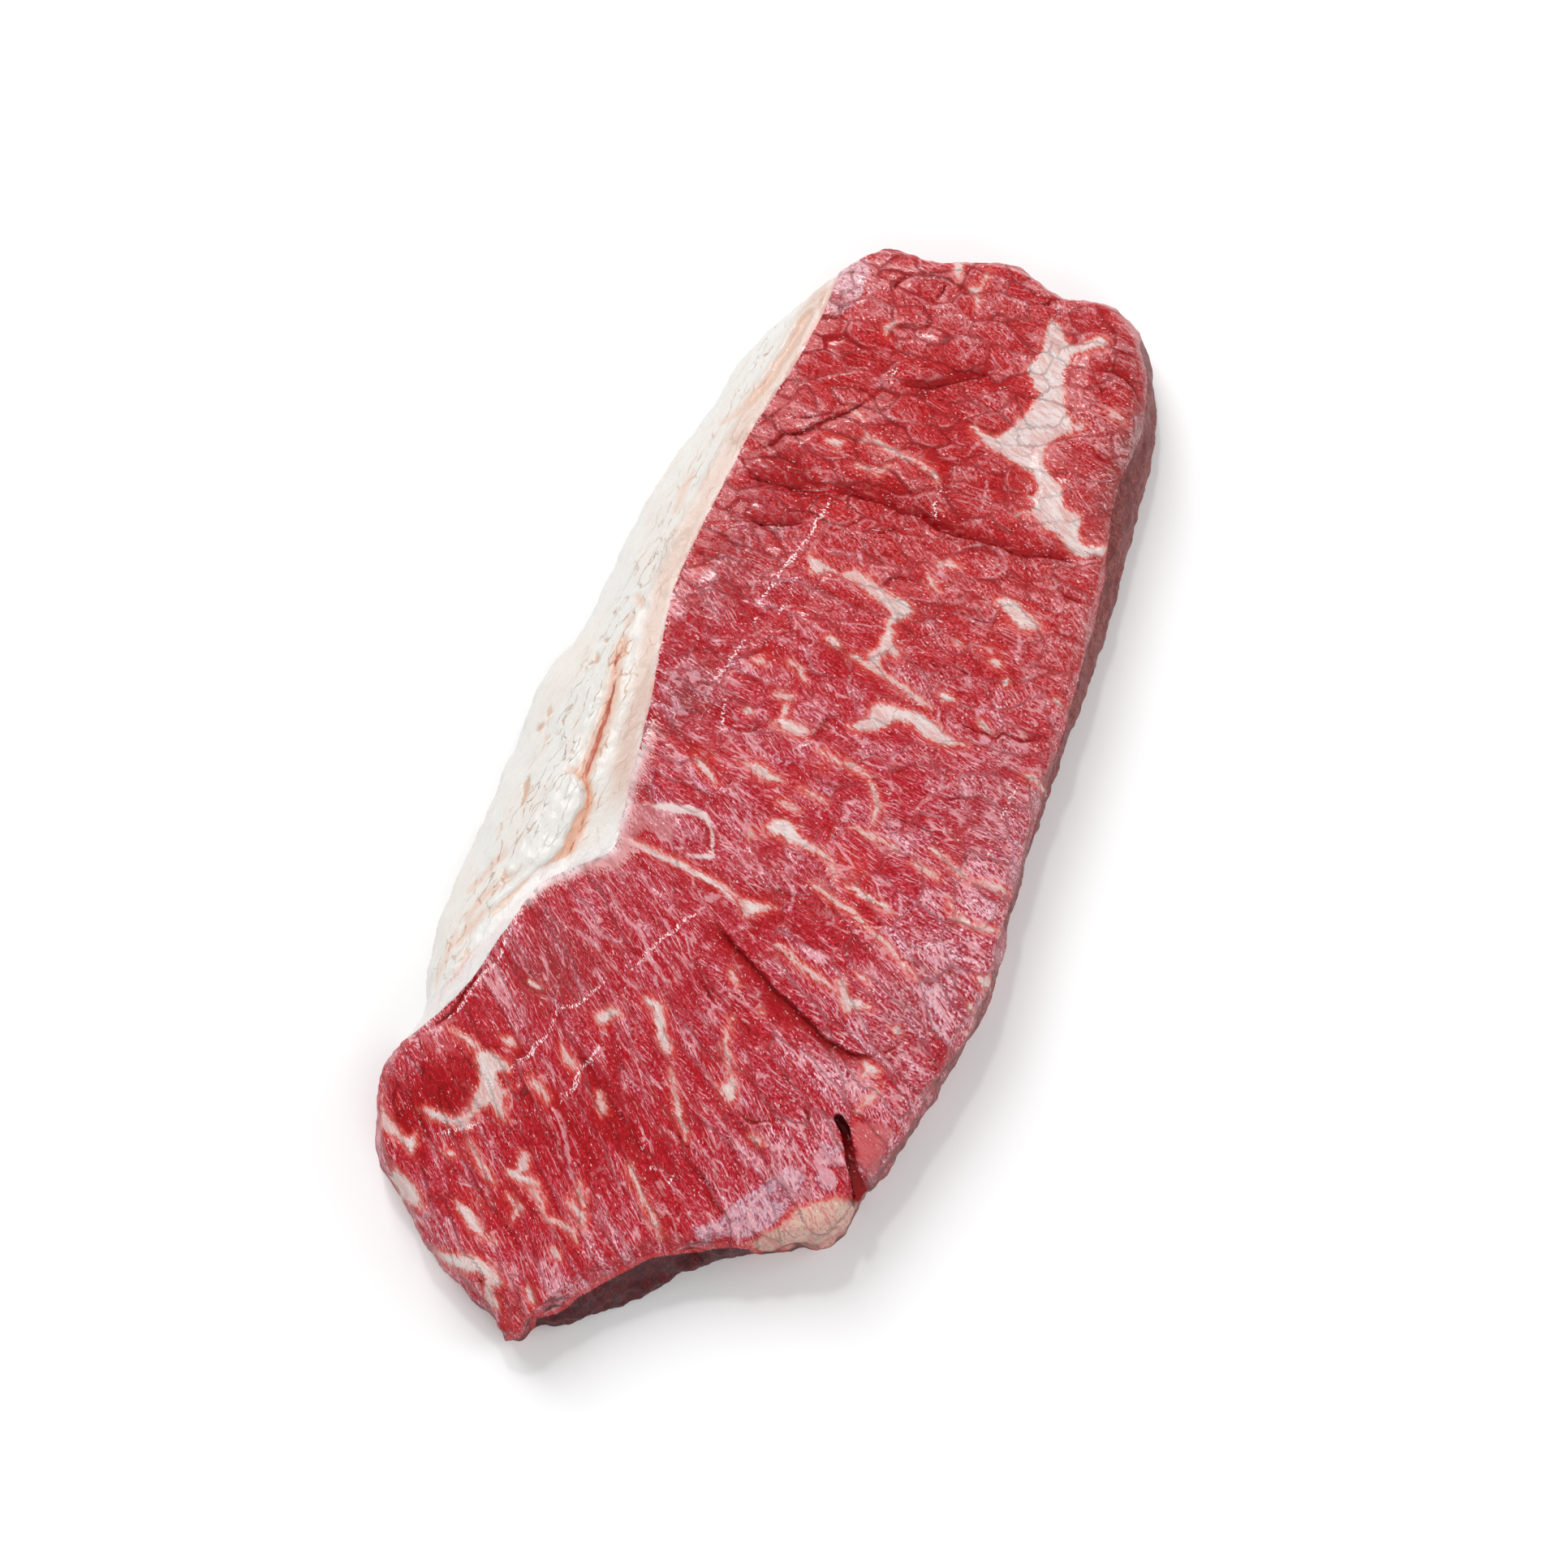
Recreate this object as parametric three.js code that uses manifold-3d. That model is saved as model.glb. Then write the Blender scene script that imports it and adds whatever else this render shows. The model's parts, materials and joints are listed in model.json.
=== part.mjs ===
// A raw sirloin steak: one thick slice of strip loin with its fat cap still on.
// Units are millimetres, +Z is up and the slice lies on its flat lower face at z = 0.
// +Y runs along the slice towards its broad end, -X is the side that carries the fat.
import * as THREE from "three";
import { mergeVertices } from "three/addons/utils/BufferGeometryUtils.js";
import Module from "manifold-3d";

// Driving dimensions.
const leanThickness = 20.5; // the cut slice, measured on the lean
const tailThickness = 17; // the thinner narrow end
const tailTaper = [33, 121]; // how far below the middle the slice starts and ends thinning
const fatThickness = 19; // the fat sits a little lower than the lean
const fatStep = [35, 43]; // how far out from the middle its top drops to that
const rimRadius = 3.2; // how far in the upper edge is rounded over
const footRadius = 2; // the same for the lower edge
const wallBulge = 0.9; // how far soft walls swell between the two cuts
const wallRoughness = 0.45; // unevenness of the walls
const wallPace = 60; // how fast that changes up the wall
const faceRoughness = 0.35; // unevenness of the cut face
const seamGap = 0.3; // clearance between the lean and the fat cap
const slitFloor = 8; // the torn slit stops this far above the lower face
const stationCount = 168; // points around each ring of the slice
const knifeReach = 90; // the knives reach this far out past the slice
const knifeTop = 40; // and this high

// The rings of the cut face, as shares of the way in from the rounded rim to the middle.
const faceShares = [0, 0.06, 0.14, 0.24, 0.36, 0.5, 0.64, 0.78, 0.9, 0.97];

// How the wall rises: its share of the flare, its offset outwards and its share of the height.
const wallProfile = [
  { flareShare: 1, offset: -footRadius, heightShare: 0 },
  { flareShare: 1, offset: -0.3 * footRadius, heightShare: 0.035 },
  { flareShare: 0.97, offset: 0, heightShare: 0.12 },
  { flareShare: 0.72, offset: wallBulge, heightShare: 0.36 },
  { flareShare: 0.42, offset: wallBulge, heightShare: 0.6 },
  { flareShare: 0.14, offset: 0.5 * wallBulge, heightShare: 0.8 },
  { flareShare: 0.03, offset: -0.2 * rimRadius, heightShare: 0.93 },
  { flareShare: 0, offset: -0.55 * rimRadius, heightShare: 0.985 },
];

// The line down the middle of the slice that its rings close in on.
const spineStart = new THREE.Vector2(3, -75);
const spineEnd = new THREE.Vector2(-3, 81);

// The upper edge of the slice as [x, y, flare]. The flare is how much further out the foot lies.
const upperEdge = [
  // outer edge of the fat cap, from the broad end down
  [-40.5, 102.5, 0.5],
  [-44, 94, 2.5],
  [-45, 84, 6.5],
  [-45.5, 69, 7.5],
  [-46, 49, 10],
  [-45.5, 31, 10],
  [-45, 15, 10.5],
  [-45, 0, 13],
  [-44.5, -13, 12],
  [-44.5, -31, 10.5],
  [-44.5, -49, 9.5],
  [-45, -63, 6],
  [-43.5, -75, 2],
  // the lean's narrow end
  [-46, -87, 1],
  [-43.5, -96, 1.5],
  [-38.5, -104, 2],
  [-29, -109, 2.5],
  [-23, -114.5, 2],
  [-13, -118, 1.5],
  [-5, -120.5, 1.5],
  [1.5, -125, 0],
  [3.5, -120, 0.5],
  [8, -111, 6],
  [12.5, -104.5, 8],
  [19.5, -96.5, 6],
  [30, -89.5, 3],
  [43, -82, 1.5],
  [50, -77, 1.5],
  [50.5, -69, 1],
  [52.5, -60, 1.5],
  // the long side away from the fat
  [54.5, -43, 1],
  [56, -23, 1],
  [54.5, -11, 1],
  [51.5, 0, 1.5],
  [48.5, 17, 1.5],
  [46, 35, 2],
  [43, 53, 3],
  [40, 67, 4.5],
  [36, 85, 4.5],
  [32.5, 101, 5],
  [28, 112.5, 4.5],
  [22, 121, 3],
  [15, 124.5, 1.5],
  // the broad end
  [5, 121.5, 1.5],
  [-7, 123, 1.5],
  [-14.5, 120.5, 1.5],
  [-21, 117, 1],
  [-32.5, 114.5, 2],
  [-37.5, 109, 1],
];

// Where the fat cap meets the lean, from the broad end to the narrow one.
const fatLine = [
  [-41, 113],
  [-38.5, 98],
  [-38.5, 83],
  [-40.3, 65],
  [-40.2, 47],
  [-39.6, 30],
  [-36.5, 17],
  [-32.5, 4],
  [-29, -10],
  [-26.4, -21],
  [-25.3, -28],
  [-30, -34],
  [-35, -41],
  [-37.3, -53],
  [-38.6, -64],
  [-41.8, -74],
  [-49, -87],
];

// Broad swells and hollows of the upper cut face as [x, y, radius along x, radius along y, height].
const swells = [
  [23, 103, 10, 13, 1.5], // the small muscle at the broad end's corner
  [-19, 95, 20, 18, 1.0],
  [1, 42, 26, 30, 1.2],
  [11, -18, 28, 22, 0.9],
  [29, -33, 16, 8, 1.1],
  [-19, -63, 14, 22, 1.3],
  [-36, -87, 7, 8, 1.0],
  [14, 95, 5, 18, -1.1], // the seam of fat between two muscles
  [-4, 61, 34, 4, -1.3], // a crease across the slice
  [23, -45, 18, 4, -1.2],
  [-43, 2, 4, 60, -0.8],
  [2, -125, 4, 5, -7.5], // the torn tongue at the narrow end lies low
];

// The torn slit in the narrow end's corner, cut down from above.
const slitOutline = [
  [38.8, -55.2],
  [43.4, -56.2],
  [47.2, -61.4],
  [53.5, -68.5],
  [51.5, -69.5],
  [45, -62],
];

// The waves that make the slice uneven, as [pace along the first way, pace along the second, start].
const waves = [
  [0.31, 0.17, 0.4],
  [-0.23, 0.41, 1.7],
  [0.57, -0.36, 2.9],
];

// A gentle, repeatable unevenness between -1 and 1.
function unevenness(a, b) {
  return waves.reduce((sum, [p, q, r]) => sum + Math.sin(p * a + q * b + r), 0) / waves.length;
}

// Height of the upper cut face away from its rounded rim.
function faceHeight(x, y) {
  const towardsTail = THREE.MathUtils.smoothstep(-y, ...tailTaper);
  const overFat = THREE.MathUtils.smoothstep(-x, ...fatStep);
  const lean = THREE.MathUtils.lerp(leanThickness, tailThickness, towardsTail);
  let height = THREE.MathUtils.lerp(lean, Math.min(lean, fatThickness), overFat);
  for (const [cx, cy, rx, ry, rise] of swells) {
    height += rise * Math.exp(-(((x - cx) / rx) ** 2) - ((y - cy) / ry) ** 2);
  }
  return height + faceRoughness * unevenness(x / 2, y / 2);
}

// Stations around the upper edge, each with its point, the way out from the spine and its flare.
function edgeStations() {
  const curve = new THREE.CatmullRomCurve3(
    upperEdge.map(([x, y, flare]) => new THREE.Vector3(x, y, flare)),
    true,
    "centripetal",
  );
  const spine = spineEnd.clone().sub(spineStart);
  const stations = [];
  for (let i = 0; i < stationCount; i++) {
    const point = curve.getPointAt(i / stationCount);
    const edge = new THREE.Vector2(point.x, point.y);
    const along = edge.clone().sub(spineStart).dot(spine) / spine.lengthSq();
    const root = spineStart.clone().addScaledVector(spine, THREE.MathUtils.clamp(along, 0, 1));
    const out = edge.clone().sub(root);
    stations.push({ edge, reach: out.length(), out: out.normalize(), flare: Math.max(point.z, 0) });
  }
  return stations;
}

// One ring of the wall, at a share of its height.
function wallRing(stations, { flareShare, offset, heightShare }) {
  return stations.map(({ edge, out, flare }) => {
    const waviness = wallRoughness * unevenness(edge.x + edge.y, wallPace * heightShare);
    const reach = flare * flareShare + offset + (heightShare > 0 ? waviness : 0);
    const at = edge.clone().addScaledVector(out, reach);
    const rim = edge.clone().addScaledVector(out, -rimRadius);
    return new THREE.Vector3(at.x, at.y, heightShare * faceHeight(rim.x, rim.y));
  });
}

// One ring of the upper cut face, at a share of the way in.
function faceRing(stations, share) {
  return stations.map(({ edge, out, reach }) => {
    const at = edge.clone().addScaledVector(out, -THREE.MathUtils.lerp(rimRadius, reach, share));
    return new THREE.Vector3(at.x, at.y, faceHeight(at.x, at.y));
  });
}

// Two triangles between each pair of neighbouring stations on two rings.
function ringWalls(rings) {
  const triangles = [];
  rings.slice(1).forEach((upper, k) => {
    const lower = rings[k];
    lower.forEach((start, i) => {
      const next = (i + 1) % lower.length;
      triangles.push([start, lower[next], upper[next]], [start, upper[next], upper[i]]);
    });
  });
  return triangles;
}

// The flat lower face.
function lowerCap(ring) {
  const flat = ring.map(({ x, y }) => new THREE.Vector2(x, y));
  return THREE.ShapeUtils.triangulateShape(flat, []).map(([a, b, c]) => [ring[a], ring[c], ring[b]]);
}

// The narrow gap that the last ring leaves, zipped shut from its broad end down.
function upperZip(ring) {
  const at = (index) => ring[(index + ring.length) % ring.length];
  const top = ring.reduce((best, point, i) => (point.y > ring[best].y ? i : best), 0);
  let left = top + 1;
  let right = top - 1;
  const triangles = [[at(top), at(left), at(right)]];
  while (triangles.length < ring.length - 2) {
    if (at(left + 1).distanceTo(at(right)) < at(right - 1).distanceTo(at(left))) {
      triangles.push([at(left), at(left + 1), at(right)]);
      left += 1;
    } else {
      triangles.push([at(left), at(right - 1), at(right)]);
      right -= 1;
    }
  }
  return triangles;
}

// The whole slice: its wall from the foot up, and its upper face in to the middle.
function sliceGeometry() {
  const stations = edgeStations();
  const rings = [
    ...wallProfile.map((level) => wallRing(stations, level)),
    ...faceShares.map((share) => faceRing(stations, share)),
  ];
  const triangles = [...ringWalls(rings), ...lowerCap(rings[0]), ...upperZip(rings.at(-1))];
  return new THREE.BufferGeometry().setFromPoints(triangles.flat());
}

// An upright prism over a closed outline, used as a knife.
function prism(outline, bottom) {
  const options = { depth: knifeTop - bottom, bevelEnabled: false };
  return new THREE.ExtrudeGeometry(new THREE.Shape(outline), options).translate(0, 0, bottom);
}

// Everything on the fat's side of the line between fat and lean, moved by shift along x.
function fatSide(shift) {
  const line = new THREE.SplineCurve(fatLine.map(([x, y]) => new THREE.Vector2(x + shift, y)));
  const outline = [
    new THREE.Vector2(-knifeReach, fatLine[0][1]),
    ...line.getPoints(3 * fatLine.length),
    new THREE.Vector2(-knifeReach, fatLine.at(-1)[1]),
  ];
  return prism(outline, -footRadius);
}

function slitGeometry() {
  return prism(slitOutline.map(([x, y]) => new THREE.Vector2(x, y)), slitFloor);
}

const wasm = await Module();
wasm.setup();

// A closed geometry as a solid that can be joined and cut.
function toSolid(geometry) {
  const bare = geometry.index ? geometry.toNonIndexed() : geometry.clone();
  bare.deleteAttribute("normal");
  bare.deleteAttribute("uv");
  const merged = mergeVertices(bare, 1e-3);
  return new wasm.Manifold(
    new wasm.Mesh({
      numProp: 3,
      vertProperties: merged.attributes.position.array,
      triVerts: new Uint32Array(merged.index.array),
    }),
  );
}

// A solid as a named mesh.
function toMesh(name, solid, material) {
  const { numProp, numVert, vertProperties, triVerts } = solid.getMesh();
  const positions = new Float32Array(numVert * 3);
  for (let i = 0; i < numVert; i++) {
    positions.set(vertProperties.subarray(i * numProp, i * numProp + 3), i * 3);
  }
  const geometry = new THREE.BufferGeometry()
    .setAttribute("position", new THREE.BufferAttribute(positions, 3))
    .setIndex(new THREE.BufferAttribute(triVerts, 1));
  geometry.computeVertexNormals();
  const mesh = new THREE.Mesh(geometry, material);
  mesh.name = name;
  return mesh;
}

const slice = toSolid(sliceGeometry());

function leanMeat() {
  const material = new THREE.MeshStandardMaterial({ color: "#b3404a", roughness: 0.4, metalness: 0 });
  const solid = slice.subtract(toSolid(fatSide(seamGap / 2))).subtract(toSolid(slitGeometry()));
  return toMesh("lean_meat", solid, material);
}

function fatCap() {
  const material = new THREE.MeshStandardMaterial({ color: "#ebe3d9", roughness: 0.5, metalness: 0 });
  return toMesh("fat_cap", slice.intersect(toSolid(fatSide(-seamGap / 2))), material);
}

const steak = new THREE.Group();
steak.add(leanMeat(), fatCap());

// The origin is under the middle of the slice.
const middle = new THREE.Box3().setFromObject(steak).getCenter(new THREE.Vector3());
steak.position.set(-middle.x, -middle.y, 0);

export default steak;
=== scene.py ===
import json
import math
from types import SimpleNamespace

import bpy
import numpy as np
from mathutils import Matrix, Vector, noise

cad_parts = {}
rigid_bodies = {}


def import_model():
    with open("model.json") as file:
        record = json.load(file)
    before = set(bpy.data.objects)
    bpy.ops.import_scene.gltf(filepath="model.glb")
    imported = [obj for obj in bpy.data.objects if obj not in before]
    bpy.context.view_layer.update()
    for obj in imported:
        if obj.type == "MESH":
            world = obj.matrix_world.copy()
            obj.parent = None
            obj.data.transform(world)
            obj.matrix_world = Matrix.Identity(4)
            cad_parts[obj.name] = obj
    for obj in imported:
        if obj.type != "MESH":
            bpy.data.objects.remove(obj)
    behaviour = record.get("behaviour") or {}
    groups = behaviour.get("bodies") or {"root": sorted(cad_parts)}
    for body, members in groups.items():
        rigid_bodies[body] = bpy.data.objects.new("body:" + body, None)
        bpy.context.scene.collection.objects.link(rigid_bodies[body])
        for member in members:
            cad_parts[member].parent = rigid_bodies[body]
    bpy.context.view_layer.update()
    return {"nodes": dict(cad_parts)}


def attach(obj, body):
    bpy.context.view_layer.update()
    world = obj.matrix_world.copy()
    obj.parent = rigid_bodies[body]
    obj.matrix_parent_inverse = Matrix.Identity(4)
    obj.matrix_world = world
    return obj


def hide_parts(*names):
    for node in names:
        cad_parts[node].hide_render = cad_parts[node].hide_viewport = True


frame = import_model()

mm = 0.001

# The skin of the whole slice, before it is cut into lean and fat. Lengths are in millimetres.
sliceSkin = {
    "closeGap": 0.25,  # swell that closes the clearance between the two solids
    "grid": 0.53,  # size of the skin's squares
    "smoothPull": 0.5,
    "smoothRounds": 4,
    "lowest": 0.02,
    "highest": 22.66,
    "undersideShare": 0.07,  # faces kept on the underside, which is nearly flat
    "wallShare": 0.38,  # faces kept on the walls
    "creaseAngle": 62,  # edges sharper than this stay sharp
}

# The knife that parts the lean from the fat.
knifeCut = {
    "reach": 90,
    "foot": -5,
    "top": 45,
    "step": 1.0,
    "waver": 0.25,
    "waverSize": 3.0,
}

# Where the fat ends and the lean starts, from the broad end down.
fatLine = [
    (-41.1, 112.8), (-38.6, 97.8), (-38.6, 82.8), (-40.4, 64.8), (-40.3, 46.8), (-39.7, 29.8),
    (-36.6, 16.8), (-32.6, 3.8), (-29.1, -10.2), (-26.5, -21.2), (-25.4, -28.2), (-30.1, -34.2),
    (-35.1, -41.2), (-37.4, -53.2), (-38.7, -64.2), (-41.9, -74.2), (-49.1, -87.2),
]

# Slope of the muscle fibres across the slice at x = 0, as (y, slope).
fibreSlopes = [
    (-126, -0.72), (-63, -0.6), (-38, -0.42), (-10, -0.2), (17, 0.03), (60, 0.12), (97, 0.18), (126, 0.2),
]

# Plates: bundles of fibre that stand a little higher, lower or tilted beside each other.
plates = {
    "size": (9.0, 4.6, 12.0),  # along the fibres, across them, in depth
    "longSize": 22.0,  # length of the plates towards the narrow end
    "longFrom": (-8, -36),  # where they get longer
    "warp": 1.6,
    "step": 0.5,
    "tilt": 1.15,
    "gap": 0.1,  # depth of the furrow between two plates
    "gapWidth": 0.16,
}

# Folds have one sloping side (left of the line's run) and one sharp lip.
creases = {
    "folds": {
        "depth": 1.15, "left": 3.2, "right": 0.42, "dark": 0.42,
        "lines": [
            [(-38.5, 55), (-35, 56), (-31, 56.5), (-27, 57.5), (-22, 59), (-20, 60.5)],
            [(-20, 60.5), (-15, 62), (-10, 63), (-5, 63.3), (0, 64), (4, 63.2), (8, 63.3), (12, 64.8),
             (20, 65.5), (26, 67.2), (31, 69.3), (34.5, 70)],
            [(-33, 47.5), (-29, 47.5), (-25, 49.5), (-22, 51.5), (-19.5, 53)],
            [(42, -42.5), (38, -43.5), (34, -43.6), (30, -43), (26, -41.5), (19, -39.5), (15, -38),
             (11, -36.5), (8, -35), (3, -33.5), (0, -32)],
            [(17.5, 109), (20, 109.8), (22, 110.5), (24, 110.2), (27, 109), (30, 107.3), (32, 106.8)],
            [(-17, 87.5), (-13, 89), (-10, 90.5), (-7.5, 92.5), (-5, 95), (0, 99.5)],
        ],
    },
    "creases": {
        "depth": 0.6, "left": 1.1, "right": 0.4, "dark": 0.36,
        "lines": [
            [(34.5, 71), (36.5, 72.3), (38.5, 72.8)],
            [(-20, 83), (-22, 80), (-24, 77), (-27, 74), (-29, 71), (-31, 68.8), (-34, 67), (-34.5, 65),
             (-36, 63), (-38, 61)],
            [(3, 121), (3, 118), (0, 117)],
            [(18, 116.3), (20, 115.5), (23, 115.7), (27, 115.3)],
            [(19, 107.5), (21, 106), (23, 104.3), (24.5, 104.2)],
            [(23, 93), (26, 92.3), (30, 92.2), (33, 92.8)],
            [(-17.3, 114), (-18, 110), (-18.8, 107)],
            [(-26, 111), (-27.5, 107), (-27.8, 104.5)],
            [(-22.5, 86.5), (-20.5, 89.5), (-19.5, 91.5)],
            [(-18, 104), (-17, 102.5), (-17.5, 100.5)],
            [(31, 65.5), (32, 62.8), (36, 62.3), (38.5, 62.5), (40.5, 63.5)],
            [(-10, 55), (-6, 57), (-3, 59.5), (0, 61)],
            [(24, 28), (30, 28), (34, 28), (35, 28.5), (35.5, 29.8), (40, 30.3), (43, 32), (46.5, 32.5)],
            [(-14.5, 5), (-12, 6.5), (-8, 9)],
            [(20.5, -63), (22, -65), (26, -65.3), (31, -62.5)],
            [(31, -58.5), (34, -58), (36, -60), (38, -62)],
            [(-36.5, -59.5), (-37.5, -62), (-39, -68), (-39.3, -73), (-41.5, -76), (-42.5, -78)],
            [(0, -43), (4, -44.5), (8, -47), (11, -47.5)],
            [(41, -39), (42, -40.8), (43.5, -40.5), (45.5, -38), (46.5, -36)],
            [(43.5, -57), (44.5, -60), (46, -63), (49.5, -67)],
        ],
    },
    "lines": {
        "depth": 0.34, "left": 0.6, "right": 0.36, "dark": 0.3,
        "lines": [
            [(3, 117.5), (5, 115.5), (6, 113.5)], [(14.8, 123), (15, 121)],
            [(26, 102.3), (28, 102), (30, 102.5)], [(26, 85.5), (29, 86)], [(31, 84.5), (33.5, 83.5)],
            [(-36, 95), (-33, 97)], [(-26, 76.5), (-30, 73), (-34, 71.3), (-35, 73)],
            [(-33, 52), (-33, 48), (-31, 46.5)], [(-33, 45), (-31, 43), (-30, 41)],
            [(16.5, 48.3), (20, 49), (23, 50.3), (26, 51)], [(34, 54.2), (38, 54), (41, 55)],
            [(41.5, 48.3), (43.5, 49.5)], [(20, 37.8), (27, 38.3)], [(15, 36), (19, 36.5)],
            [(15, 9.3), (18, 9.6)], [(21, 3), (24, 4), (31, 4.6), (35, 5.5), (39, 6)],
            [(27, 11), (31, 12), (33, 13.5), (38, 15)], [(41, 5.5), (40.5, 3), (42, 0.5)],
            [(-39, 36.5), (-35.5, 36.2)], [(-33, 25.2), (-29, 24.8)], [(-28, 31.5), (-22.5, 31.7)],
            [(-33.5, 13), (-31, 15)], [(-26, 8.7), (-24, 8.8)], [(-28, -4.5), (-24, -3.5)],
            [(11, -45.5), (14, -47.5), (17, -49), (21, -50.5)], [(30.5, -39.5), (33, -39), (33.5, -37)],
            [(49, -33), (53, -30.5)], [(50, -43.3), (55, -42)], [(25, -53), (28, -54), (30, -56)],
            [(32, -49.8), (37.5, -48.3)], [(24, -72.5), (29, -75), (31, -77)],
            [(17, -78), (20, -79), (25, -81), (27.5, -83.5)], [(9, -73.5), (15, -75.3), (21, -76.5)],
            [(46, -61), (47, -64.5), (50, -66)], [(-11.5, -117.6), (-8.5, -118.5), (-6.6, -120)],
        ],
    },
}

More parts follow.
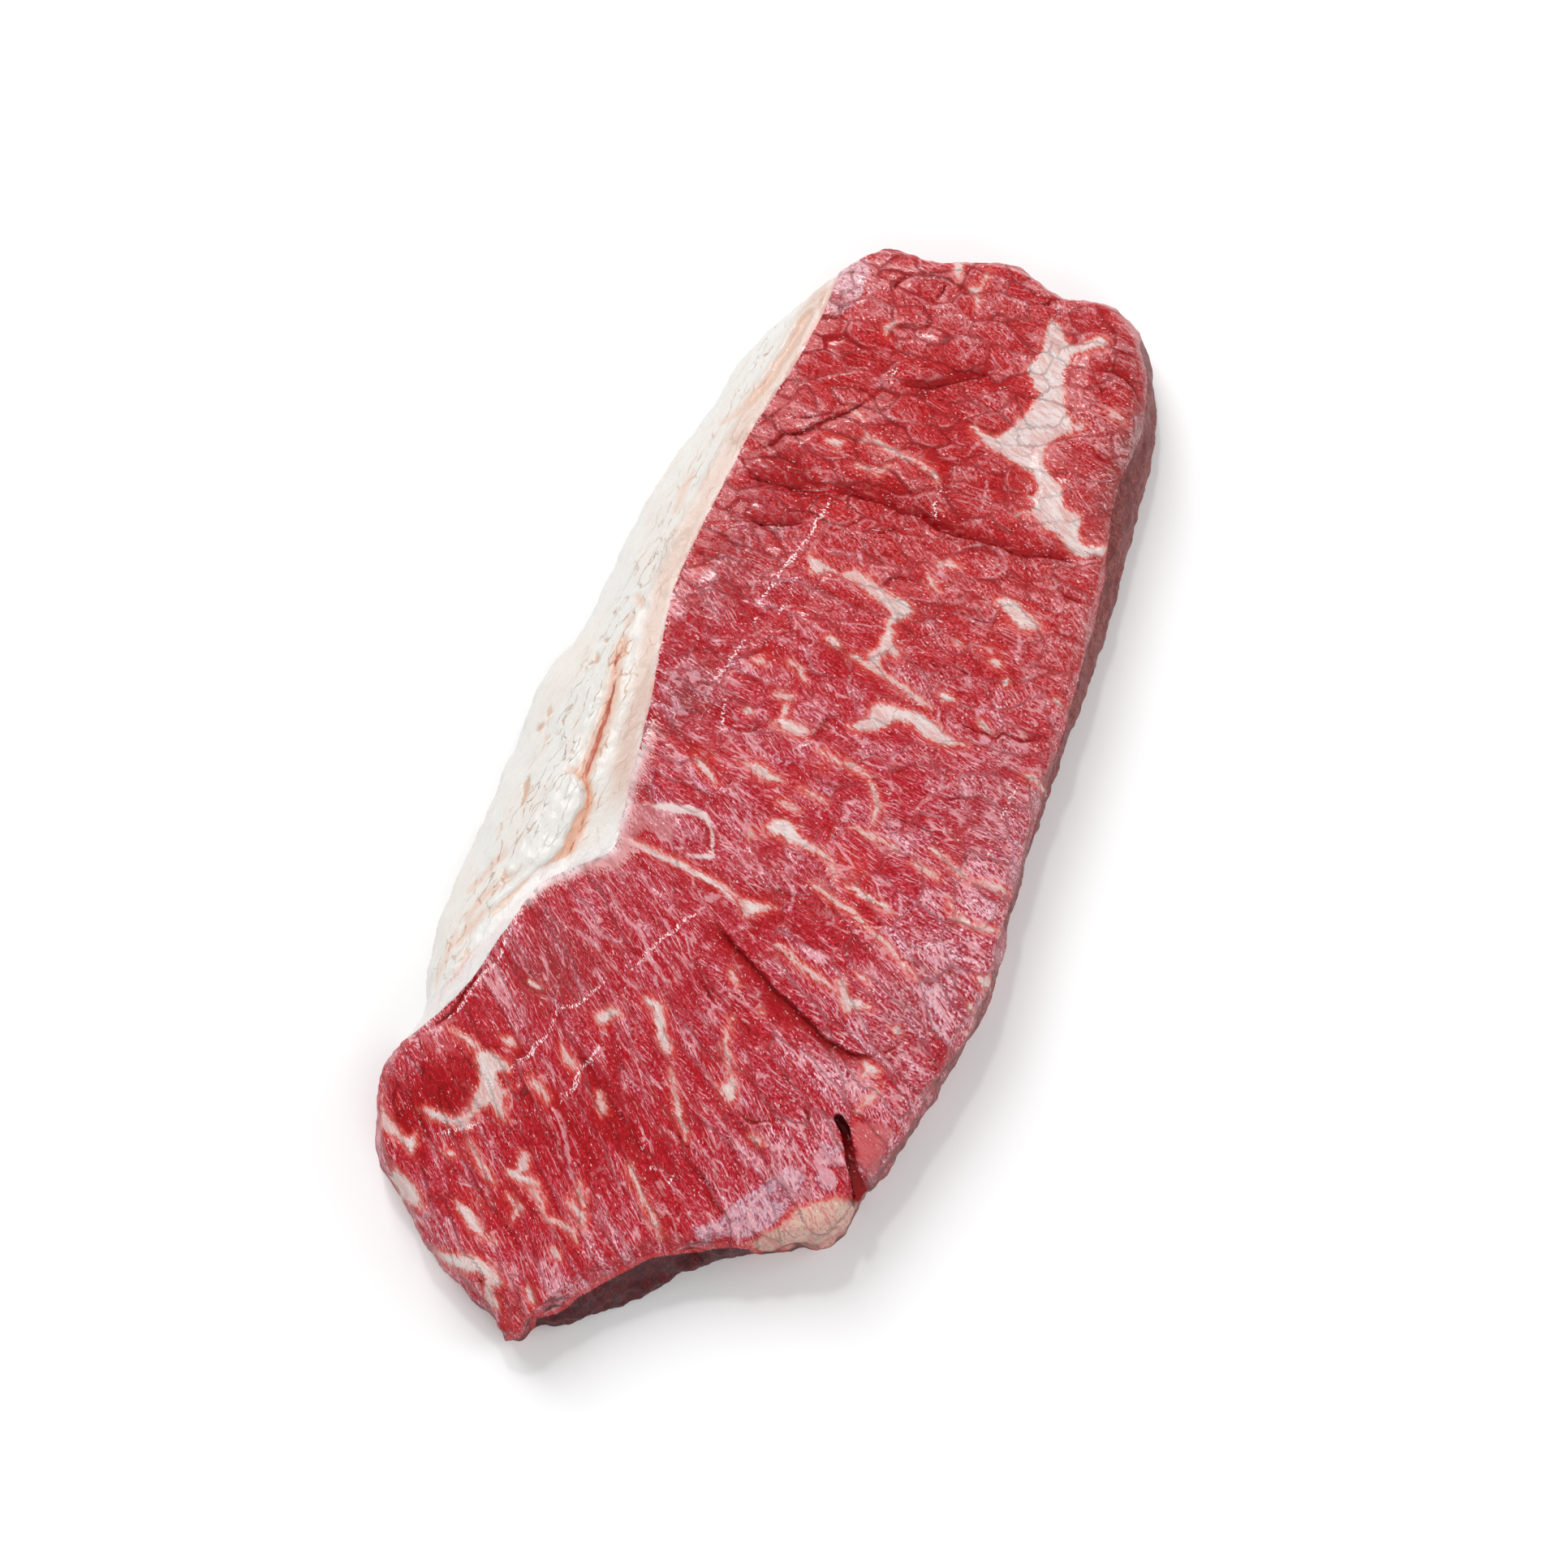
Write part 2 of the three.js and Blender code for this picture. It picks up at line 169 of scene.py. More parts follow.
# Fat between the muscles and the larger flecks, as outlines that run down through the slice.
fatPatches = [
    # the forked seam at the broad end
    [(5.2, 115), (8, 114.2), (10, 112.8), (11.5, 112.2), (13.5, 113.3), (15, 115), (16.8, 116.3),
     (18.2, 115.8), (18.5, 114.8), (16.5, 113.4), (14.5, 112), (13, 110.5), (13.2, 109), (13, 107.5),
     (13.2, 105), (14.5, 102), (16, 99.5), (17.5, 97.8), (19.5, 96.3), (20.5, 95.8), (21, 97.5),
     (22, 97.8), (21.5, 96.6), (21, 95.2), (19.5, 94.5), (18, 93), (17, 91), (16.3, 89), (16.8, 87.5),
     (18.5, 85.5), (21, 83.5), (23.5, 82.5), (24.5, 81), (26, 79.5), (29.5, 79), (30.5, 77.5),
     (31, 75.5), (33.5, 74.2), (35.5, 74.5), (37.3, 76), (37.6, 74.5), (37.3, 73.3), (35.5, 72.5),
     (34.5, 71.4), (32, 71.3), (29.5, 72.3), (27, 73.3), (24, 73.5), (22, 74.5), (20.6, 75),
     (19.5, 74), (17.4, 72.8), (17.4, 73.6), (20.3, 75.6), (20, 77.5), (17.8, 78.3), (19.3, 79),
     (19.2, 80.2), (18.4, 81.7), (17, 83), (14, 83.5), (9, 83.8), (6, 84), (4, 84.6), (2.5, 85.3),
     (1, 86.2), (1.5, 86.7), (3.5, 86.3), (5.5, 86.4), (6.5, 86.8), (7.7, 88), (8, 89.5), (8.5, 91),
     (9.6, 93), (10.2, 95.5), (10.6, 97.5), (10.5, 99.3), (8.5, 100), (7, 101.5), (5.6, 103.8),
     (6.2, 105.5), (6.4, 108), (6.3, 110.5), (5.6, 113)],
    [(-18.5, 117), (-17, 118), (-15.7, 116), (-16, 113.5), (-17.5, 115)],
    [(24.5, 102), (27, 101.8), (29.5, 101), (26, 100.8)],
    [(22, 55), (24, 56), (26, 56.5), (28, 54.8), (30, 55.2), (33, 54), (31, 52.5), (29, 51.5),
     (27, 51.8), (25, 53.3), (22, 54.2)],
    # the seam left of the middle
    [(-17.5, 46), (-16, 44), (-15, 42.8), (-12.5, 43.5), (-13, 44.5), (-9.5, 45.3), (-6.5, 47.3),
     (-3, 46.6), (0, 46.2), (3, 45.7), (6, 45.7), (7.3, 44.8), (6.8, 43.5), (5.5, 42), (5, 40),
     (6, 38.5), (7.3, 36.5), (8.8, 35.8), (8.8, 34.8), (6.3, 35), (5.7, 33.5), (6, 31.5), (7, 30.7),
     (3.8, 30.5), (3, 32), (4.2, 34), (4.6, 36), (4.5, 38.5), (3.5, 40), (3.5, 42.5), (0, 44),
     (-3, 44), (-6, 45), (-10, 45)],
    [(9.2, 24), (11, 24.4), (13, 25), (15, 25.6), (18, 25.7), (21, 26), (23, 25.5), (25, 24.5),
     (28, 24.3), (30, 24.7), (28, 23.4), (25.5, 22.3), (23, 21.8), (20.5, 22.2), (18, 23.2),
     (15.5, 23), (14.3, 22), (13.3, 20.5), (12.5, 19.3), (10, 18), (8, 17), (6.5, 17.2), (8, 18.6),
     (9.5, 20), (9.3, 22)],
    [(-9.5, 0), (-7, 1), (-5, 1.2), (-2, 0.6), (0, 0.3), (-2, -0.5), (-5, -0.8), (-8, -0.5)],
    [(0.5, -9.8), (2, -7.5), (4, -6.5), (6, -7), (9, -8.5), (12, -9), (14, -8.8), (16, -9.5),
     (17.5, -11), (18.3, -13), (17.5, -12), (16.3, -10.3), (14, -10), (10, -10), (6, -10.2), (2, -10.3)],
    [(3, -25.5), (9.8, -24.2), (7, -27), (5, -28.5)],
    [(53, -18.5), (54, -17.5), (56, -16.5), (56.7, -18.3), (55, -19.3)],
    [(40.5, -44), (44.5, -44.2), (43.5, -45.5), (41.5, -47), (41, -45.5)],
    [(17, -58), (18.5, -59), (19.5, -60.5), (20.5, -62.5), (19.5, -63.7), (17, -62.3), (16.2, -61.8),
     (17.3, -60)],
    [(-13, -60), (-11, -58), (-9, -57), (-7.5, -57.5), (-9.5, -59), (-10, -61), (-12, -61)],
    # the seam at the narrow end's left corner
    [(-38, -76), (-34, -75.8), (-30, -77), (-27, -76.3), (-24, -76.8), (-23.3, -78), (-25, -79.5),
     (-24.5, -81), (-23, -82.5), (-21.8, -81.5), (-21.8, -84), (-20.5, -85.3), (-19, -87.3),
     (-21.5, -86.5), (-23, -85.5), (-25, -87), (-25.5, -89), (-26, -90.5), (-25, -92), (-26, -92.8),
     (-30, -92.8), (-33, -94), (-36, -93), (-34, -92.3), (-30, -91.8), (-28, -91), (-27, -89),
     (-27, -86), (-27.5, -82), (-28.5, -80.5), (-30, -79), (-31, -77.5)],
    [(-43.5, -96.2), (-41, -98), (-38, -99), (-35, -99.5), (-34.6, -97.9), (-33, -99.5), (-33, -101.8),
     (-34.2, -101.2), (-36, -100.6), (-39, -100.2), (-42, -99.5)],
    [(-35.3, -105.8), (-33, -106.3), (-30, -107.6), (-27.5, -109.2), (-26.5, -110.2), (-29.5, -110.6),
     (-32, -110), (-34, -108.8), (-35.6, -107.6)],
    [(-20.5, -106.4), (-17.5, -105.9), (-15.8, -107), (-14.5, -108.5), (-12, -109.4), (-9.5, -109.6),
     (-11.5, -110.2), (-15, -109.9), (-17, -108.9), (-19.3, -107.5)],
    [(-20, -116.9), (-16, -115.6), (-13.8, -114.4), (-11, -114.1), (-8.5, -114.6), (-7, -115.2),
     (-5, -116.5), (-6, -118.3), (-7.5, -117.8), (-8.5, -116.8), (-10, -117), (-13, -117.7),
     (-16, -118.2), (-18.6, -118)],
    # the remnant on the torn corner
    [(36.8, -87), (38, -84.1), (39.5, -82.4), (40.6, -80), (41.3, -77.8), (42.6, -75.8), (44.6, -74.3),
     (45.7, -72.9), (47.3, -71.4), (50, -70.5), (51.2, -69.7), (54, -70.6), (55, -74), (54, -78),
     (51.5, -81.5), (48.8, -82.2), (46.5, -83.5), (43.8, -85.8), (41, -88.5), (38.4, -89.5)],
]

# Cream streaks as (half width, line).
fatStreaks = [
    (0.5, [(-23.7, 100), (-24, 98.5), (-25, 97.5), (-24, 96.3)]),
    (0.5, [(-10.5, 113), (-10, 111)]), (0.4, [(-11, 114), (-11, 118.5)]),
    (0.8, [(-13, 113.7), (-11, 113.6)]),
    (0.45, [(-19, 75.5), (-17.5, 74), (-18.5, 72.5)]), (0.45, [(-18, 74), (-10, 74.3), (-3, 74), (0, 72)]),
    (0.75, [(-25, 70), (-22, 71)]), (0.4, [(-17, 67.5), (-12, 69), (-11, 71)]),
    (0.4, [(-24, 78.5), (-21, 77.5)]), (0.8, [(8, 56), (9.5, 57.5), (11.5, 58)]),
    (0.5, [(7, 53), (8.5, 51.5), (10.5, 51)]), (0.7, [(26.5, 42.4), (28.8, 42.4)]),
    (0.9, [(31.2, 40), (31.8, 40)]), (0.4, [(18, 42.5), (20, 42.7)]), (0.45, [(41.5, 41.3), (44, 41)]),
    (0.5, [(0, 30.3), (5, 30.2), (10, 29.5), (17.5, 28.3), (20, 28)]),
    (0.6, [(43.2, 24), (48.9, 24.3)]), (0.55, [(43.6, -0.8), (47, 0), (51.2, 0.7)]),
    (0.6, [(43.6, -9), (47, -8.8), (51, -8.3), (53.4, -7.5)]), (0.5, [(30, 30), (33.5, 28.8)]),
    (0.9, [(20.6, 31.4), (23.6, 31.7)]), (0.6, [(-6, 31.5), (-3, 31)]),
    (0.6, [(-17.5, 20.8), (-15, 21)]), (0.5, [(-10, 16), (-8, 16.5), (-6.5, 17.3)]),
    (0.45, [(-7.5, 16), (-6.7, 14), (-6.5, 12.5)]), (1.0, [(-8, 10.8), (-6, 11.5), (-3, 11.2), (0, 11.5)]),
    (0.8, [(-14.2, 10.5), (-12.9, 10.6)]), (0.35, [(-10.5, 23), (-8, 23), (-6, 21.5)]),
    (0.7, [(-19, -3.5), (-16, -4.3), (-14, -5), (-12.5, -6)]),
    (0.45, [(3, 9.3), (5, 9.6), (12, 9.7), (15.5, 9), (17.5, 6.5), (19.5, 4), (20.5, 1)]),
    (0.35, [(33, 1.5), (39, 0), (43.5, -0.8)]), (0.35, [(3, 0.5), (10, 0.3)]),
    (0.35, [(17, -2), (22, -1.7), (27, -2)]), (0.35, [(30, -2.3), (37, -3.8)]),
    (0.35, [(41, -7), (43, -8.5)]), (0.4, [(0, -3.5), (5, -3.4)]),
    (0.5, [(20.5, -13.3), (27, -13.3), (32, -14.2)]),
    (0.4, [(15, -16.5), (20, -16.8), (25, -18), (33, -20.3), (38, -22), (42, -24.5)]),
    (0.8, [(54.2, -24.3), (54.9, -24.3)]), (0.35, [(-22, -24.5), (-15, -24.6), (-5, -24.6), (2, -25.3)]),
    (0.7, [(-1.9, -12.2), (-0.8, -12.1)]), (0.5, [(30.5, -28.7), (33.8, -29)]),
    (0.4, [(13.5, -31), (17, -31), (19, -32.3), (28, -34)]),
    (0.8, [(27.5, -32.5), (29, -32), (30.2, -33), (31, -34.3), (33, -34.7), (37, -34)]),
    (0.5, [(31, -35), (33, -36), (34, -35.2)]), (0.9, [(43, -35.1), (44.3, -35.4)]),
    (0.4, [(8, -39.7), (10, -41.5)]), (0.5, [(17, -44.2), (17.6, -44)]), (0.5, [(12, -48.3), (12.6, -48)]),
    (0.45, [(45.7, -47), (45, -50), (43.7, -54)]),
    (1.0, [(-5.5, -52), (-2.5, -53), (0, -56), (3, -59), (4.5, -60.5)]),
    (0.4, [(6, -63), (10, -68.5), (13, -72), (15, -74.5)]),
    (0.4, [(12.5, -50), (14, -53), (16.5, -58.5)]), (0.45, [(26, -67.5), (29.5, -68)]),
    (0.4, [(7, -84), (12, -88), (17, -92), (19.5, -94)]), (0.4, [(0, -92), (2.5, -95)]),
    (0.6, [(0, -96), (2.5, -97), (4.5, -99)]), (0.7, [(-27.5, -72.5), (-24.5, -73)]),
    (0.4, [(-28, -60), (-25, -60.2)]),
    (0.8, [(-12.5, -91), (-11.5, -94), (-12, -96.3)]), (0.8, [(-14, -96.8), (-12.5, -95.7), (-8, -96.2)]),
    (0.5, [(-8.5, -97.3), (-5, -98.3), (-4, -100)]),
    (0.5, [(-3, -101.3), (0, -100.8), (3, -101), (5, -102.5)]),
    (0.45, [(-8.7, -101.5), (-9, -103), (-8.5, -104.5)]), (0.35, [(-12, -100.5), (-9, -102)]),
    (0.6, [(0.5, -106), (3, -106.9)]), (0.35, [(-24, -94.5), (-20, -97), (-15, -99.8)]),
    (0.6, [(0, -115), (2.3, -117)]), (0.9, [(-8, -117.5), (-6, -120), (-3.5, -121.8)]),
    (0.5, [(-16, -69), (-11, -72)]), (0.45, [(-19, -77), (-13, -80)]), (0.5, [(-5, -74), (-2, -77)]),
    (0.7, [(-26.5, -98.6), (-24.8, -98.4)]),
]

# Thin pale sinew with a lavender cast.
sinews = [
    (0.5, [(4, 85), (3, 82), (2.9, 80)]), (0.5, [(0, 69), (2.5, 64.5)]),
    (0.5, [(8.5, 77.8), (10, 74), (10.8, 70)]), (0.35, [(10.5, 76), (11.7, 72.5)]),
    (0.8, [(8.5, 55.5), (10, 54)]), (0.7, [(29, 51), (30, 49), (31, 47), (29, 46)]),
    (0.5, [(30.5, 46), (32, 45)]), (0.6, [(-9, 52.5), (-7, 50), (-6.3, 47.8)]),
    (1.2, [(32, 27), (34, 27)]), (0.4, [(-12, 5), (-7, 4), (-3, 2.3)]),
    (1.8, [(-27, 13), (-27, 11)]), (0.8, [(-28, 4), (-24, 5)]), (0.5, [(23, -9), (30, -9)]),
    (0.5, [(5.5, -14), (9.5, -15), (11, -15.5)]), (0.5, [(8.8, -17), (12, -19.5), (13.5, -23.3)]),
    (1.0, [(42.5, -18.8), (45, -18.9)]), (0.4, [(-9.5, -12), (-6, -11), (-3, -11.5), (-1, -14)]),
    (0.4, [(36, -26), (38.5, -28), (39.5, -30)]), (0.4, [(43, -25), (46, -28), (48, -31), (49, -33.5)]),
    (0.5, [(-18, -39), (-12, -41), (-9, -43.5), (-6, -46), (-4.5, -49)]),
    (0.4, [(-29, -43), (-25, -42.5), (-20, -44.5), (-15, -45)]),
    (0.4, [(-27, -46), (-20, -47), (-12, -50.5)]), (0.8, [(-4, -29.5), (-1, -27)]),
    (0.4, [(28, -70), (30.5, -71.5)]), (0.4, [(13, -67.5), (17, -69), (22, -73)]),
    (0.4, [(9.5, -74), (13, -75.5), (14.5, -76.5)]),
    (0.5, [(-13.5, -80.5), (-11, -81), (-9, -82.5), (-7, -85), (-5, -88), (0, -93)]),
    (1.6, [(42, -67.5), (46, -69)]), (0.7, [(40, -64), (42, -68)]),
    (0.7, [(-42.5, -98), (-41.5, -102), (-40, -104.5)]), (0.5, [(-26, -110.5), (-22, -111.5)]),
    (0.5, [(-28, -112), (-23, -113.5)]), (0.7, [(3, -114), (6.5, -113.8), (7.3, -115.5), (5, -117)]),
]

# Smooth pale skin over the lean in the corner by the fat, and its raised white edge.
skinPatches = [
    [(-26.6, -19.1), (-25.6, -16.7), (-22.3, -15.8), (-19.5, -15.6), (-16.4, -14.6), (-17.4, -17.5),
     (-15.5, -19.6), (-15.6, -21.0), (-18.7, -21.3), (-21.4, -21.4), (-21.9, -23.6), (-24.3, -23.0)],
]
skinEdges = [
    (0.75, [(-21.6, -16.1), (-18.3, -14.9), (-14.3, -13.2), (-11.2, -13.2), (-9.2, -14.7)]),
    (0.35, [(-9.2, -14.7), (-8.2, -16.4), (-7.4, -17.9), (-6.1, -20.2), (-8.2, -21.5), (-11.9, -22.4)]),
    (0.4, [(-25.0, -25.0), (-21.3, -25.2), (-18.9, -25.1), (-15.8, -25.1), (-12.7, -25.1), (-8.4, -24.9),
           (-4.7, -24.9), (-0.6, -25.6), (2.2, -26.2)]),
]
# Fuzzy white-pink skin between the fat and the lean.
fringePatches = [
    [(-30.2, 1), (-29.9, -8), (-28.8, -14), (-27.7, -18), (-26.7, -22.8), (-25.8, -26.3), (-22.8, -26.6),
     (-21.5, -25.1), (-23.8, -22.6), (-25.4, -18.6), (-26.1, -14), (-27.4, -8), (-28.4, -2)],
    [(-37.7, -45.6), (-36.0, -41.6), (-33.6, -37.8), (-30.1, -33.6), (-27.0, -30.1), (-24.8, -27.1),
     (-23.0, -25.6), (-19.9, -25.3), (-21.7, -28.1), (-22.4, -30.6), (-25.4, -33.1), (-28.6, -35.8),
     (-31.5, -39.3), (-34.0, -43.1), (-35.9, -46.6), (-37.1, -50.6), (-38.0, -56.1), (-39.4, -60.5),
     (-41.0, -65.8), (-42.7, -71.0), (-43.2, -77), (-44.5, -77), (-43.5, -69), (-41.5, -61), (-39.3, -53)],
]
# Frosted lavender films with clear edges, partly real films and partly painted sheen.
filmPatches = [
    [(24, -90), (28, -86), (31, -79.5), (34, -73.5), (37, -69.5), (40, -70.5), (40.6, -74), (40.2, -78.5),
     (38, -82.5), (35.5, -85.5), (32, -87.5), (28, -90.5)],
    [(42.0, -69.3), (42.2, -68.1), (42.9, -67.3), (44.7, -67.2), (45.9, -68.2), (46.3, -69.4),
     (45.4, -70.5), (43.5, -70.3)],
    [(39.6, -63.5), (40.7, -62.8), (44.0, -61.4), (45.0, -63.2), (45.8, -65.0), (44.4, -65.5), (42.8, -66.7),
     (41.7, -67)],
    [(-40, 113), (-37, 112), (-34, 108), (-33, 103), (-33.5, 98), (-36, 95.5), (-39, 97)],
]
# What lies outside the crisp upper edge at the narrow end and on the right.
rimPatches = [
    [(36, -88), (30, -91), (25, -94.5), (20, -98), (18, -100), (15.3, -104), (12, -108.5), (9.5, -112),
     (8.5, -115), (6.5, -117), (3.5, -119.5), (8, -135), (60, -110), (56, -84), (50, -81.5), (46.5, -82.7),
     (42.8, -84.7), (40.3, -87)],
    [(24, 119.5), (28, 115), (31, 109), (33, 103), (33.5, 97), (33.7, 92), (34, 88), (35.5, 82),
     (37.5, 76), (38.5, 73), (40, 70), (41, 65), (42.5, 60), (43, 55), (44, 50), (45, 45), (46, 40),
     (47, 33), (48.5, 24), (50.2, 14), (52, 4), (53.3, -6), (75, -6), (75, 130), (24, 130)],
]
# The torn slit in the narrow end's corner.
slitPocket = [(38.2, -54.6), (43.9, -55.4), (47.9, -60.9), (54.2, -68.2), (51.6, -70.3), (44.3, -62.3)]
# The flap beside the slit.
flapPatch = [(43.7, -56.3), (45.5, -54.8), (48.5, -53.4), (52.0, -53.6), (52.6, -57), (52.9, -61.5),
             (52.2, -63.6), (50.4, -64.3), (48.6, -63.3), (46.4, -60.2)]

# Runs of wet glints, painted as specks.
glintRuns = [
    [(-19, 60), (-18.7, 57), (-19, 54), (-18.5, 51), (-19, 48.5), (-19.8, 46), (-20, 43), (-20.8, 40),
     (-21.5, 37), (-21.7, 33), (-22, 31.5)],
    [(-21, 30), (-21.3, 27)], [(-21, 25), (-21.7, 20), (-21.5, 17), (-22.5, 14), (-23, 12)],
    [(-17, 41.5), (-17.8, 38), (-16.5, 36.5)], [(-17, 35), (-17, 32), (-16, 31.5)],
    [(-18.5, 11), (-18, 7), (-16.5, 4)],
    [(-4, -31), (-5, -34), (-6, -38), (-7.5, -40), (-9.3, -45), (-10.5, -50)],
    [(-13.7, -52), (-15, -55), (-16.5, -59.5), (-19.5, -62), (-20, -68), (-20.8, -73), (-23.5, -78)],
    [(-9, -64), (-9.2, -68), (-10.5, -71), (-9.7, -74), (-10.8, -79.5)], [(43.3, 22), (43, 18), (43.3, 13)],
    [(-36.3, -51), (-36, -55), (-35.5, -59), (-36.5, -62), (-37.5, -66), (-38, -71), (-39.5, -74)],
    [(-23.3, -89.5), (-24.5, -91.5), (-28.5, -94), (-31.5, -97)], [(8.3, -78.5), (8, -80.5)],
    [(1.2, 72.5), (1.6, 68), (3.5, 64.5)], [(-19.5, 91), (-18.7, 88.5), (-18, 86.5)],
    [(10, -83.5), (12, -82), (13, -82.5)], [(16.5, -81.5), (16.3, -84)], [(13.3, 107), (13, 105), (14, 104)],
]

# Soft spots as (x, y, radius along x, radius along y, amount): wet film that is partly painted sheen,
# paleness and orange-red glow.
filmSpots = [
    (-33, 40, 9, 17, 0.8), (-31, 22, 8, 12, 0.6), (-28, 6, 6, 9, 0.6), (-33, 56, 9, 8, 0.6),
    (-33, 68, 8, 6, 0.6), (-22, 50, 6, 6, 0.5), (-12, 66, 10, 4, 0.35),
    (30, -44, 11, 5, 0.55), (47, -22, 9, 22, 0.9), (-22, -102, 5, 5, 0.5),
    (-26, 90, 10, 12, 0.3), (20, 112, 12, 8, 0.4), (28, 100, 8, 14, 0.3), (31, -74, 9, 7, 0.5),
    (10, -95, 16, 16, 0.45), (40, -55, 10, 8, 0.4), (-36, -88, 8, 8, 0.4),
]
# paler and darker lean; the dark spots along the long creases near y 55 to 65 are painted shade
toneSpots = [
    (42, 20, 16, 60, 0.4), (46, -25, 12, 30, 0.5), (32, 105, 12, 20, 0.55), (-24, 58, 14, 4, -1.0),
    (-8, 65, 14, 3, -0.9), (-28, -85, 7, 6, -0.8), (-10, -75, 24, 18, -0.35),
    (10, 100, 30, 24, 0.1), (30, -50, 14, 8, 0.25), (-38, -95, 5, 4, -0.8), (16, -6, 10, 4, -0.3),
    (-8, -120, 5, 2, -0.9), (0, -30, 18, 8, -0.15), (12, -95, 14, 18, 0.15), (-4, -82, 26, 12, -2.0),
    (-36, -90, 7, 12, -2.4), (-30, 90, 8, 10, -1.1), (-6, 82, 16, 9, -1.1), (-5, 30, 12, 12, -0.3),
    (12, -22, 14, 8, -0.9), (48, -26, 10, 20, 0.8), (34, -46, 8, 6, 1.2), (-27, 60, 8, 5, -1.6),
    (-37, 104, 6, 10, 1.6), (18, 78, 5, 5, -1.6), (-6, -46, 12, 8, -0.9),
    (-8, 104, 12, 8, -0.5), (50, 0, 7, 12, 0.8), (-5, -104, 10, 7, -0.9), (-28, 92, 7, 6, -0.4),
    (-26, 8, 6, 6, 0.6), (30, 62, 8, 8, 0.3), (8, -47, 10, 8, 0.1), (-18, -18, 6, 6, -0.6),
    (12, -50, 7, 5, -0.2), (-8, 104, 8, 8, 0.4),
]
glowSpots = [
    (17, -6.5, 5, 2.4, 1.0), (-17, -2, 5, 2.2, 0.9), (-5, 2.2, 6, 1.8, 0.8), (21.5, -10.5, 4, 2, 0.8),
    (17, -57, 3.5, 2.2, 0.9), (-17, -104.5, 4, 2, 0.9), (-26, -98, 3, 2, 0.9), (-9, -97, 3, 1.4, 0.9),
    (-25, -80, 2.5, 2, 0.9), (26, 44, 3, 2, 0.5), (13, 27, 5, 1.6, 0.5), (-15, 23, 3, 1.6, 0.6),
    (5, 7, 3, 1.6, 0.6), (19, 80, 3, 4, 0.5), (-37, 33, 2, 3, 0.6), (0, -122, 4, 4, 0.7),
    (48, -60, 5, 5, 0.35),
]

# Duller, browner lean, most of it at the broad end's right side.
dunSpots = [
    (33, 100, 4, 16, 1.6), (37, 86, 4, 10, 0.9), (24, 115, 6, 5, 0.6), (43, 60, 4, 12, 0.5),
    (-32, 38, 6, 14, 0.4), (-26, 8, 5, 8, 0.9), (-25, -55, 7, 8, 0.6), (46, -27, 8, 12, 0.55),
    (41, 16, 7, 14, 0.45), (16, 79, 4, 5, 0.3), (10, -20, 8, 6, 0.25),
]

# The fat cap: red-orange grooves, partly painted shade, tan pits, peach bands (the folds, painted peach as
# shade) and raised lobes, in the same terms.
fatMarks = {
    "grooves": [
        (0.35, [(-43.6, 13), (-42.9, 10.3), (-42.8, 7.8), (-41.9, 5), (-41, 2.2), (-40.1, -0.5),
                (-39.5, -3.5)]),
        (0.75, [(-40.4, 0.5), (-39.5, -3.5), (-38.9, -6.4), (-38.6, -9.4), (-38.3, -12.5), (-38, -15.5),
                (-37.7, -18)]),
        (0.4, [(-37.7, -17), (-35.1, -20.4), (-33.8, -23), (-33.2, -26.6), (-32.9, -29.6), (-32.9, -33.4)]),
    ],
    "folds": [
        (0.9, [(-36, -18.5), (-35, -20.5), (-34.3, -23), (-34, -30), (-33.7, -33), (-34.5, -37),
               (-35.3, -39.5)]),
        (0.6, [(-43.5, -51), (-44, -54), (-44.8, -57), (-45.3, -60)]),
        (0.4, [(-41, 94), (-41.5, 88), (-42, 82), (-42.5, 76), (-43.5, 72), (-45, 68), (-47.5, 65)]),
        (0.4, [(-48, 53), (-48, 48), (-47, 43)]), (0.35, [(-40, 100), (-39, 96)]),
        (0.5, [(-46, 23), (-44, 21)]), (0.4, [(-45, 18.5), (-44.6, 16)]),
        (0.35, [(-38.5, -38), (-41.5, -42.5), (-44.5, -48), (-46.5, -54)]),
        (0.3, [(-45.5, -38), (-47, -43), (-48.5, -48)]), (0.35, [(-46.5, -57), (-46.2, -63), (-45.6, -69)]),
    ],
    "pits": [
        (0.5, [(-48, 9), (-47.2, 7.5), (-48.2, 6)]), (0.7, [(-52, -9), (-52, -11)]),
        (0.5, [(-52.3, -5), (-51.8, -7)]),
        (0.6, [(-49, -21), (-48, -24), (-47.5, -27)]), (0.5, [(-43.5, -41), (-42.8, -43), (-41.5, -41.5)]),
        (0.25, [(-45, 39.2), (-45, 38.8)]), (0.25, [(-47.5, -10), (-47.5, -10.5)]),
        (0.4, [(-48, 13), (-47.5, 12)]), (0.35, [(-48.8, 19.5), (-49.2, 18.5)]),
    ],
    "lobes": [
        [(-70, -20), (-44, -19), (-41.5, -17.4), (-38.9, -17.4), (-37, -18.6), (-35.5, -20.4),
         (-34.8, -22.9), (-35, -25.5), (-34.7, -31.1), (-35.5, -36), (-38.2, -41), (-42, -50), (-70, -50)],
    ],
}


def smoothStep(low, high, value):
    share = np.clip((value - low) / (high - low), 0, 1)
    return share * share * (3 - 2 * share)


# Perlin noise of a given size at every point, from about -1 to 1.
def lumps(points, size, shift=0.0):
    places = points / size + shift
    return np.array([noise.noise(place) for place in places.tolist()])


def layeredLumps(points, size, shift, layers=3):
    total = np.zeros(len(points))
    for layer in range(layers):
        total += lumps(points, np.asarray(size) / 2.1 ** layer, shift + 7.3 * layer) * 0.55 ** layer
    return total


# Fibres run along the first coordinate: (length along, y where the fibre crosses x = 0, height).
def grainOf(points):
    places, slopes = np.array(fibreSlopes).T
    start = points[:, 1].copy()
    for _ in range(8):
        start = points[:, 1] - np.interp(start, places, slopes) * points[:, 0]
    slope = np.interp(start, places, slopes)
    return np.stack([points[:, 0] * np.sqrt(1 + slope ** 2), start, points[:, 2]], axis=1)


